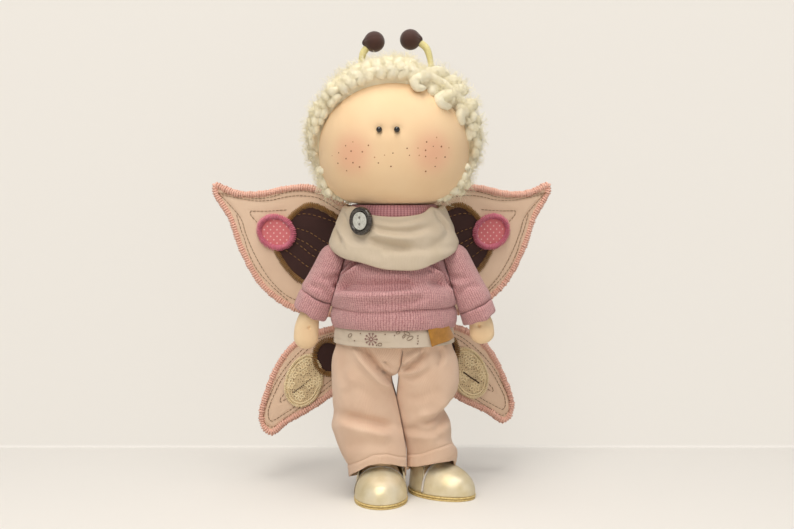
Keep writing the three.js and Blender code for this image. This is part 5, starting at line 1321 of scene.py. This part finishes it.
# The wings: padded panels of dusty peach cotton, edged in close satin stitch and quilted with thin
# brown running stitches, with appliques of chocolate, pink dotted and lace cloth.
wing_cotton = cloth("dusty peach wing cotton", paint(238, 210, 184), paint(214, 180, 152), 0.00042, 0.00032,
                    0.00005, stitch=0.4, drift=0.35, patch=45.0)
edging_shade = cloth("shaded base of the edging", paint(246, 204, 186), paint(226, 174, 154), 0.0007,
                     0.0006, 0.00006)


def satin(name, colour, shade, drift=0.4, patch=200.0, rough=0.55, sheen=0.4):
    """Close stitches in a shiny thread."""
    return cloth(name, colour, shade, 0.0007, 0.0006, 0.00006, 0.25, drift, patch, rough, sheen)


satin_peach = satin("peach satin stitch", paint(255, 232, 218), paint(248, 206, 188), 0.5, 160.0)
satin_mustard = satin("mustard satin stitch", paint(160, 116, 52), paint(104, 70, 28))
satin_pink = satin("rose satin stitch", paint(224, 126, 148), paint(186, 84, 110), rough=0.5, sheen=0.45)
brown_thread = cloth("brown quilting thread", paint(150, 118, 86), paint(116, 86, 60))
gold_thread = cloth("gold quilting thread", paint(176, 134, 84), paint(130, 92, 52))
lace_cotton = cloth("cream lace thread", paint(250, 234, 198), paint(226, 204, 160), 0.0005, 0.0005,
                    0.00008, stitch=0.4, drift=0.4, patch=140.0)
wing_chocolate = cloth("chocolate wing cotton", paint(66, 38, 34), paint(40, 22, 19), 0.00045, 0.00045,
                       0.00004, stitch=0.3, rough=0.75, sheen=0.25)
dark_thread = cloth("dark brown thread", paint(84, 56, 42), paint(56, 36, 27))

lace_net, tree, surface, where = new_finish("net of cream lace")
holes = node(tree, "ShaderNodeTexVoronoi", {"feature": "DISTANCE_TO_EDGE"}, Vector=where["UV"], Scale=760.0,
             Randomness=0.5)
# The holes of the net are filled with painted shade, a dark brown, and sink in the bump.
shaded_hole_mask = ranged(tree, holes.outputs["Distance"], From_Min=0.2, From_Max=0.34)
thread_tone = mixed(tree, noise(tree, where["UV"], 160.0, 3.0), paint(226, 204, 164), paint(200, 176, 136))
fill(surface, Base_Color=mixed(tree, shaded_hole_mask, thread_tone, paint(124, 92, 70)),
     Normal=raised(tree, shaded_hole_mask, 0.8, 0.00015, {"invert": True}), Roughness=0.85)

rose_cotton, tree, surface, where = new_finish("rose cotton with white pin dots")
parts = node(tree, "ShaderNodeSeparateXYZ", Vector=where["UV"]).outputs
pitch = 0.0041
row = calc(tree, "DIVIDE", parts["Y"], pitch * 0.5)
odd = calc(tree, "MODULO", calc(tree, "FLOOR", row), 2.0)
column = calc(tree, "ADD", calc(tree, "DIVIDE", parts["X"], pitch), calc(tree, "MULTIPLY", odd, 0.5))
dx = calc(tree, "MULTIPLY", calc(tree, "SUBTRACT", calc(tree, "FRACT", column), 0.5), pitch)
dy = calc(tree, "MULTIPLY", calc(tree, "SUBTRACT", calc(tree, "FRACT", row), 0.5), pitch * 0.5)
reach = calc(tree, "SQRT", calc(tree, "ADD", calc(tree, "MULTIPLY", dx, dx),
                                calc(tree, "MULTIPLY", dy, dy)))
dot = ranged(tree, reach, From_Min=0.00034, From_Max=0.0005, To_Min=0.9, To_Max=0.0)
knit = knitted(tree, where["UV"], 0.0004, 0.0004)
tone = toned(tree, where, paint(226, 128, 132), paint(196, 98, 104), knit, 0.3, 0.3, 120.0)
fill(surface, Base_Color=mixed(tree, dot, tone["Colour"], paint(250, 216, 212)),
     Normal=raised(tree, knit, 0.7, 0.00005), Roughness=0.88)

upper_wing = [[6, 57], [14, 63], [30, 74], [46, 81.4], [62, 81], [78, 77.8], [93.5, 77.9], [109.3, 83],
              [109.5, 77], [99.8, 61], [92.6, 41.5], [79, 19], [60, 5.5], [38, 1], [14, 7], [6, 13]]
lower_wing = [[6, 6], [16, 0.5], [34, -3.5], [50, -8], [61, -15], [70.5, -26.6], [78.8, -44.2], [83, -59.5],
              [80.8, -67.5], [75, -70.7], [65.5, -64], [49.3, -55.2], [33.6, -44.7], [18, -29], [8, -13],
              [6, -5]]
dark_patch = [[21, 56], [33, 65.8], [46.6, 71], [56, 66.8], [66, 55], [70.4, 45], [66.4, 35], [54.2, 22.2],
              [38, 18], [22, 27], [17, 42]]
lace_patch = [[47, -20.5], [56, -23], [63, -32], [65.2, -43], [62, -50.5], [55, -53], [46.5, -49],
              [41, -39], [41, -28]]
edging_width = 3.3
strip_turn, wing_sweep = 4, 16
strip_x, strip_y, hinge_reach = -5, 32, 5


def on_wing(flat, depth, side):
    """Points given as (reach, rise over the sweater's hem) on a wing, depth in front of its middle."""
    yaw = math.radians(strip_turn + side * wing_sweep)
    flat = np.asarray(flat)
    local_x, local_y = side * (flat[..., 0] - hinge_reach), -np.broadcast_to(depth, flat.shape[:-1])
    mount = math.radians(strip_turn)
    x = strip_x + side * hinge_reach * math.cos(mount) + local_x * math.cos(yaw) - local_y * math.sin(yaw)
    y = strip_y + side * hinge_reach * math.sin(mount) + local_x * math.sin(yaw) + local_y * math.cos(yaw)
    return np.stack([x, y, flat[..., 1] + band_bottom], axis=-1)


def drooped(points, side):
    """The lower wing hangs a little, so its outline is turned about the hinge."""
    turn = math.radians(side * 2.2)
    points = np.asarray(points, float)
    x, y = points[..., 0] - hinge_reach, points[..., 1]
    return np.stack([hinge_reach + x * math.cos(turn) - y * math.sin(turn),
                     x * math.sin(turn) + y * math.cos(turn)], axis=-1)


def oval(reach, height, half_long, half_short, turn):
    angle = round_turns(160)
    x, y = half_long * np.cos(angle), half_short * np.sin(angle)
    turn = math.radians(turn)
    return np.stack([reach + x * math.cos(turn) - y * math.sin(turn),
                     height + x * math.sin(turn) + y * math.cos(turn)], axis=-1)


def evenly(loop, count):
    """A closed line of points set out again at equal spacing."""
    loop = np.vstack([loop, loop[:1]])
    run = np.concatenate([[0], np.cumsum(np.linalg.norm(np.diff(loop, axis=0), axis=1))])
    places = np.linspace(0, run[-1], count, endpoint=False)
    return np.stack([np.interp(places, run, loop[:, axis]) for axis in range(loop.shape[1])], axis=-1)


def line_gap(points, starts, ends):
    """Each point's distance from a line made of straight spans."""
    best = np.full(points.shape[:-1], 1e9)
    for start, end in zip(starts, ends):
        span = end - start
        share = np.clip(((points - start) @ span) / max(span @ span, 1e-12), 0, 1)
        best = np.minimum(best, np.linalg.norm(points - start - share[..., None] * span, axis=-1))
    return best


def edge_gap(points, loop):
    return line_gap(points, loop, np.roll(loop, -1, 0))


def leftward(loop):
    """Which way is left of a closed line, at each of its points."""
    ahead = unit_rows(np.roll(loop, -1, 0) - np.roll(loop, 1, 0))
    return np.stack([-ahead[:, 1], ahead[:, 0]], axis=-1)


def inset(loop, distance):
    """A closed line moved inwards, without the points that would fold over at a tip."""
    area = np.sum(loop[:, 0] * np.roll(loop[:, 1], -1) - np.roll(loop[:, 0], -1) * loop[:, 1])
    moved = loop + leftward(loop) * (distance if area > 0 else -distance)
    return evenly(moved[edge_gap(moved, loop) > distance * 0.97], len(loop))


def cushion(name, loop, middle, side, depth, half, material, stitches=()):
    """A padded shape with an outline: a front and a back skin, pulled in along its stitches."""
    shares = np.concatenate([np.linspace(0.02, 0.9, 20), np.linspace(0.92, 1, 6)])
    front = np.asarray(middle) + (loop[None] - middle) * shares[:, None, None]
    puff = half * (0.55 + 0.45 * (1 - np.exp(-edge_gap(front, loop) / 2.2)))
    for line in stitches:
        puff = puff - 0.3 * np.exp(-(line_gap(front, line[:-1], line[1:]) / 0.9) ** 2)
    rings = np.concatenate([on_wing(front, depth + puff, side), on_wing(front, depth - puff, side)[::-1]])
    made = skin(name, rings, material)
    flat = np.concatenate([front.reshape(-1, 2), front[::-1].reshape(-1, 2)])
    flat = np.vstack([flat, [middle, middle]]) / 1000
    layer = made.data.uv_layers["cloth"].data
    corners = np.empty(len(made.data.loops), int)
    made.data.loops.foreach_get("vertex_index", corners)
    layer.foreach_set("uv", flat[corners].ravel())
    return made


def stitch_tree(name, wrap):
    """A row of stitches along a path. Wrap makes each one a ring round the edge; otherwise it lies
    over the cloth as a low arch."""
    tree, given, result = new_group(
        name,
        {"Path": ("Geometry", None), "Pitch": ("Float", 0.0006), "Span": ("Float", 0.003),
         "Height": ("Float", 0.001), "Thread": ("Float", 0.0003), "Along": ("Float", 0.0),
         "Face": ("Vector", None), "Seed": ("Int", 3), "Thread finish": ("Material", None)},
        {"Geometry": "Geometry"}, "GeometryNodeTree")
    run = node(tree, "GeometryNodeMeshToCurve", _0=given["Path"])
    spaced = node(tree, "GeometryNodeResampleCurve", {"mode": "LENGTH"}, Curve=run,
                  Length=given["Pitch"])
    half = calc(tree, "MULTIPLY", given["Span"], 0.5)
    if wrap:
        hoop = node(tree, "GeometryNodeCurvePrimitiveCircle", Resolution=12, Radius=1.0)
        size = node(tree, "ShaderNodeCombineXYZ", X=half, Y=given["Height"], Z=1.0)
        squashed = node(tree, "GeometryNodeTransform", Geometry=hoop.outputs["Curve"], Scale=size)
        thread_path = node(tree, "GeometryNodeTransform", Geometry=squashed,
                           Rotation=(math.pi / 2, 0, 0))
    else:
        start = node(tree, "ShaderNodeCombineXYZ", X=calc(tree, "MULTIPLY", half, -1.0),
                     Y=calc(tree, "MULTIPLY", given["Along"], -0.5))
        top = node(tree, "ShaderNodeCombineXYZ", Z=calc(tree, "MULTIPLY", given["Height"], 2.0))
        end = node(tree, "ShaderNodeCombineXYZ", X=half, Y=calc(tree, "MULTIPLY", given["Along"], 0.5))
        thread_path = node(tree, "GeometryNodeCurveQuadraticBezier", Resolution=6, Start=start,
                           Middle=top, End=end)
    section = node(tree, "GeometryNodeCurvePrimitiveCircle", Resolution=5, Radius=given["Thread"])
    thread = node(tree, "GeometryNodeCurveToMesh", Curve=thread_path,
                  Profile_Curve=section.outputs["Curve"], Fill_Caps=True)
    ahead = node(tree, "GeometryNodeInputTangent")
    upright = node(tree, "FunctionNodeAlignRotationToVector", {"axis": "Z"}, Vector=given["Face"])
    turned = node(tree, "FunctionNodeAlignRotationToVector", {"axis": "Y", "pivot_axis": "Z"},
                  Rotation=upright, Vector=ahead)
    vary = node(tree, "FunctionNodeRandomValue", {"data_type": "FLOAT"}, _2=0.88, _3=1.14,
                Seed=given["Seed"])
    laid = node(tree, "GeometryNodeInstanceOnPoints", Points=spaced, Instance=thread,
                Rotation=turned, Scale=vary.outputs[1])
    smooth_result(tree, laid, given["Thread finish"], result)
    return tree


tree, given, result = new_group(
    "Cord along a line",
    {"Path": ("Geometry", None), "Thread": ("Float", 0.0002), "Thread finish": ("Material", None)},
    {"Geometry": "Geometry"}, "GeometryNodeTree")
run = node(tree, "GeometryNodeMeshToCurve", _0=given["Path"])
section = node(tree, "GeometryNodeCurvePrimitiveCircle", Resolution=6, Radius=given["Thread"])
cord = node(tree, "GeometryNodeCurveToMesh", Curve=run, Profile_Curve=section.outputs["Curve"],
            Fill_Caps=True)
smooth_result(tree, cord, given["Thread finish"], result)
cord_tree = tree
edge_stitches = stitch_tree("Stitches round an edge", True)
laid_stitches = stitch_tree("Stitches laid on cloth", False)


def stitched(name, tree, lines, material, **sizes):
    """Runs a stitch tree along lines of points in the row's frame, and returns the plain mesh."""
    points, edges = [], []
    for line, closed in lines:
        first = len(points)
        points += at(line).tolist()
        edges += [(first + index, first + index + 1) for index in range(len(line) - 1)]
        edges += [(len(points) - 1, first)] if closed else []
    mesh = bpy.data.meshes.new(name)
    mesh.from_pydata(points, edges, [])
    return grown(name, mesh, tree, Thread_finish=material, **sizes)


pink_middle, pink_turn = (68.1, 52.8), 20
spot_middle = (35.6, -22.2)


def outside_pink(line):
    """The part of a line that isn't under the pink oval, starting after it."""
    turn = math.radians(pink_turn)
    apart = (np.asarray(line) - pink_middle) @ np.array([[math.cos(turn), -math.sin(turn)],
                                                         [math.sin(turn), math.cos(turn)]])
    free = np.hypot(apart[:, 0] / 12.6, apart[:, 1] / 10.7) > 1
    if free[0] and free[-1] and not free.all():
        start = int(np.argmin(free))
        return np.roll(line, -start, 0)[np.roll(free, -start)]
    return np.asarray(line)[free]


def edging_core(name, loop, side, half_width, half_depth, material):
    """The soft bead that the edge stitches are worked over."""
    aside = leftward(loop)
    angle = round_turns(12)
    rings = np.stack([on_wing(loop + aside * half_width * math.cos(turn), half_depth * math.sin(turn), side)
                      for turn in angle], axis=1)
    return skin(name, rings, material, hoop=True)


quilting = {
    "upper": [[(105, 76), (93.6, 73.8), (81.2, 72), (71.3, 72.5), (62.7, 74.3), (53, 75.2), (41.5, 73.6),
               (28, 66)],
              [(105.5, 76.6), (92.3, 75.3), (81.2, 73.4), (71.3, 74.4), (62.7, 77), (53, 78.1),
               (41.4, 76.2), (27, 69.5)],
              [(105, 76), (98, 69), (91, 60.6), (88.2, 52), (84, 42), (78, 31), (71.5, 22.2), (61.5, 13.6),
               (50, 9.4), (38, 8), (24, 10)],
              [(62.8, 66.4), (75.1, 65.6), (85.3, 64.8), (79.6, 57.5), (75, 52)]],
    "lower": [[(30, -7), (46, -12.6), (56.5, -20.6), (67.4, -32.6), (74, -43.6), (79.2, -56), (79.6, -62),
               (74.6, -65.6), (66, -60.4), (54, -52), (44.1, -45.6), (33, -37.6), (22, -27)],
              [(30, -9.4), (45.4, -14.8), (55, -22.4), (65.6, -34), (71.8, -44.4), (76.6, -56),
               (75.4, -61.6), (66.8, -57.6), (54.6, -49.8), (44.6, -43.2), (34, -35.4)],
              [(65, -43.7), (69, -49.7), (61, -46.4)]],
}
pin_line = [(93.7, 62.4), (90.8, 53.1), (89.2, 49.1), (86.2, 39.7), (80.8, 29.4), (71.4, 19.4), (62, 11.6)]
gold_rows = [[(57, 63.3), (49.4, 64.2), (42.1, 62.8), (31.2, 59.4)],
             [(54.3, 55.1), (47, 52.8), (37.9, 47.4), (27, 43)],
             [(54.3, 48.7), (48.2, 45.8), (42.8, 42), (28, 38)],
             [(54.9, 46), (50.1, 42.5), (45.8, 39.1), (30, 33)],
             [(61.7, 41.5), (55, 36.9), (48.9, 32.3), (34, 26)]]
lace_flowers = [(52.8, -29.9), (59.7, -32), (48.9, -38.3), (43.6, -37.2), (55.8, -45.7), (61.8, -38.6),
                (51.8, -24.6)]

for side_name, side in (("right", -1), ("left", 1)):
    yaw = math.radians(strip_turn + side * wing_sweep)
    facing = (math.sin(yaw), -math.cos(yaw), 0.0)
    stitches = {"brown": [], "gold": []}
    for level, outline, middle in (("upper", upper_wing, (56, 46)), ("lower", lower_wing, (50, -33))):
        shift = (lambda points: drooped(points, side)) if level == "lower" else np.array
        loop = eased(outline, 40 * len(outline), closed=True)
        loop[:, 0] = np.maximum(loop[:, 0], 6)
        loop = evenly(shift(loop), 520)
        loop[:, 0] = np.maximum(loop[:, 0], 6)
        opening = inset(loop, edging_width - 0.6)
        lines = [shift(eased(line, 8 * len(line))) for line in quilting[level]]
        panel = cushion(f"wing_{level}_cotton_{side_name}", opening[::3], shift([middle])[0], side, 0.0,
                        1.45, wing_cotton, lines)
        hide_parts(f"wing_{level}_panel_{side_name}")
        bead_loop = inset(loop, edging_width / 2)
        core = edging_core(f"wing_{level}_satin_{side_name}", bead_loop[::2], side, 1.45, 1.5, edging_shade)
        threads = stitched("edge", edge_stitches, [(on_wing(bead_loop, 0, side), True)], satin_peach,
                           Pitch=0.0015, Span=0.0034, Height=0.0019, Thread=0.0006, Face=facing,
                           Seed=5 + side)
        edging = joined([core, threads])
        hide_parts(f"wing_{level}_edging_{side_name}")
        stitches["brown"] += [(on_wing(line, 1.36, side), False) for line in lines]
        if level == "upper":
            stitches["brown"].append((on_wing(eased(pin_line, 60), 1.4, side), False))
        for made in (panel, edging):
            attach(made, "wing_" + side_name)

    pink_loop = oval(*pink_middle, 12.8, 10.9, pink_turn)
    dark_loop = evenly(eased(dark_patch, 400, closed=True), 300)
    spot_loop = drooped(oval(*spot_middle, 12, 10.9, 90), side)
    lace_loop = evenly(drooped(eased(lace_patch, 300, closed=True), side), 200)
    patches = [
        ("dark_patch", dark_loop, (44, 44), 1.75, 0.42, wing_chocolate, satin_mustard, 2.9, "chocolate",
         0.0),
        ("pink_patch", pink_loop, pink_middle, 2.1, 0.5, rose_cotton, satin_pink, 3.1, "pink", 0.55),
        ("lace_patch", lace_loop, tuple(drooped([[53, -37]], side)[0]), 1.75, 0.42, lace_net, lace_cotton,
         1.3, "lace", 0.0),
        ("dark_spot", spot_loop, tuple(drooped([spot_middle], side)[0]), 2.0, 0.45, wing_chocolate,
         satin_mustard, 2.9, "chocolate", 0.2),
    ]
    quilted = [np.array(line, float) for line in gold_rows]
    for name, loop, middle, depth, half, material, thread, width, slot, proud in patches:
        base = cushion(f"wing_{name}_cloth_{side_name}", inset(loop, 0.5)[::2], middle, side, depth, half,
                       material, quilted if name == "dark_patch" else ())
        border_line, closed = inset(loop, width / 2), True
        if name == "dark_patch":
            border_line, closed = outside_pink(border_line), False
        satin_row = stitched("satin", laid_stitches,
                             [(on_wing(border_line, depth + half - 0.2 + proud, side), closed)], thread,
                             Pitch=0.00105, Span=width / 1000, Height=0.00085 + proud / 1000,
                             Thread=0.00046, Face=facing, Seed=11 + side)
        satin_row.name = f"wing_{name}_satin_{side_name}"
        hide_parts(f"wing_{name}_{side_name}")
        for made in (base, satin_row):
            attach(made, "wing_" + side_name)
        if name == "dark_patch":
            stitches["gold"] += [(on_wing(outside_pink(eased(line, 60)), depth + half - 0.1, side), False)
                                 for line in gold_rows]
    # The lace's own pattern: six-petalled flowers worked in cord, with a brown slit sewn across them.
    petals = []
    for spot in lace_flowers:
        for turn in np.arange(6) * math.pi / 3 + spot[0]:
            around = round_turns(14)
            reach, width = 2.0 + 1.35 * np.cos(around), 0.85 * np.sin(around)
            loop = np.stack([spot[0] + reach * math.cos(turn) - width * math.sin(turn),
                             spot[1] + reach * math.sin(turn) + width * math.cos(turn)], axis=-1)
            petals.append((on_wing(drooped(loop, side), 2.2, side), True))
    petals.append((on_wing(inset(lace_loop, 2.4), 2.2, side), True))
    lace_work = stitched("wing_lace_flowers_" + side_name, cord_tree, petals, lace_cotton, Thread=0.0005)
    slit = [(48.5, -35.7), (52, -38.6), (55.6, -41.2), (58.8, -43.6)]
    slit_line = on_wing(drooped(eased(slit, 40), side), 2.45, side)
    if side > 0:
        slit_work = stitched("wing_lace_slit_" + side_name, cord_tree, [(slit_line, False)], dark_thread,
                             Thread=0.00048)
    else:
        slit_work = stitched("wing_lace_slit_" + side_name, laid_stitches, [(slit_line, False)],
                             dark_thread, Pitch=0.0013, Span=0.0, Along=0.0006, Height=0.00025,
                             Thread=0.0003, Face=facing, Seed=4)
    for made in (lace_work, slit_work):
        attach(made, "wing_" + side_name)
    for tone_name, material, pitch, span in (("brown", brown_thread, 0.0024, 0.00165),
                                             ("gold", gold_thread, 0.003, 0.0016)):
        rows = stitched(f"wing_{tone_name}_stitches_{side_name}", laid_stitches, stitches[tone_name],
                        material, Pitch=pitch, Span=0.0, Along=span, Height=0.00022, Thread=0.00019,
                        Face=facing, Seed=2)
        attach(rows, "wing_" + side_name)

# The strip between the wings: a padded tube of the wing cotton, sewn to the back of the sweater,
# that both pairs of wings are hinged on.
strip_low, strip_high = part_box("wing_strip")
low = (np.array(strip_low) - doll_middle) * 1000
high = (np.array(strip_high) - doll_middle) * 1000
middle, half = (low + high) / 2, (high - low) / 2
rows = []
for height, share in ((0.0, 0.72), (1.2, 0.9), (3, 1.0), (10, 1.0), (28, 1.0), (45, 1.0), (56, 1.0),
                      (59, 0.9), (60, 0.7)):
    rows.append([middle[0], high[1] - 4.2, low[2] + 60 - height if height < 60 else low[2], 2.6 * share,
                 4.0 * share])
strip = skin("wing_strip_cotton", loft(rows, 60, 40, 2.6), wing_cotton)
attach(strip, "torso")
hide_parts("wing_strip")

# The undershirt's print: a sprig of rays, small lozenges, buds and dots in thin raised ink.
ink_brown = cloth("brown printing ink", paint(138, 104, 82), paint(112, 82, 62), 0.0004, 0.0004, 0.00001)
ink_rose = cloth("rose printing ink", paint(150, 92, 92), paint(128, 74, 78), 0.0004, 0.0004, 0.00001)


def on_shirt(x, z):
    return np.stack([x, shirt_front(x) - 0.06, z], axis=-1)


def shirt_ring(x, z, wide, high, turn=0.0):
    angle = round_turns(20)
    across, up = wide * np.cos(angle), high * np.sin(angle)
    return on_shirt(x + across * math.cos(turn) - up * math.sin(turn),
                    z + across * math.sin(turn) + up * math.cos(turn))


rose_lines = []
for turn in np.arange(10) * math.pi / 5:
    share = np.linspace(0.8, 2.9, 8)
    rose_lines.append((on_shirt(-12.9 + share * math.cos(turn), 95.9 + share * math.sin(turn)), False))
    rose_lines.append((shirt_ring(-12.9 + 3.2 * math.cos(turn), 95.9 + 3.2 * math.sin(turn), 0.35, 0.35),
                       True))
rose_lines.append((shirt_ring(-12.9, 95.9, 0.8, 0.8), True))
brown_lines = [(shirt_ring(9.1, 96.6, 1.9, 0.95, 0.5), True), (shirt_ring(7.4, 99.3, 1.7, 0.9, -0.4), True),
               (shirt_ring(5.6, 97.6, 1.0, 0.6, 0.9), True), (shirt_ring(2.3, 99.8, 1.1, 0.7, 0.3), True),
               (shirt_ring(-7.9, 93.0, 1.1, 0.8, 0.2), True), (shirt_ring(-25, 97.5, 1.3, 0.8, 0.8), True)]
brown_lines += [(shirt_ring(x, z, 0.22, 0.22), True) for x, z in (
    (13.6, 97.8), (13.5, 96.3), (13.7, 94.8), (13.4, 93.3), (0.4, 98.2), (-9.8, 92.6), (-19, 99),
    (-22.4, 94.6), (-5, 98.8))]
for name, lines, ink in (("shirt_print_rose", rose_lines, ink_rose),
                         ("shirt_print_brown", brown_lines, ink_brown)):
    printed = stitched(name, cord_tree, lines, ink, Thread=0.00014)
    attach(printed, "torso")
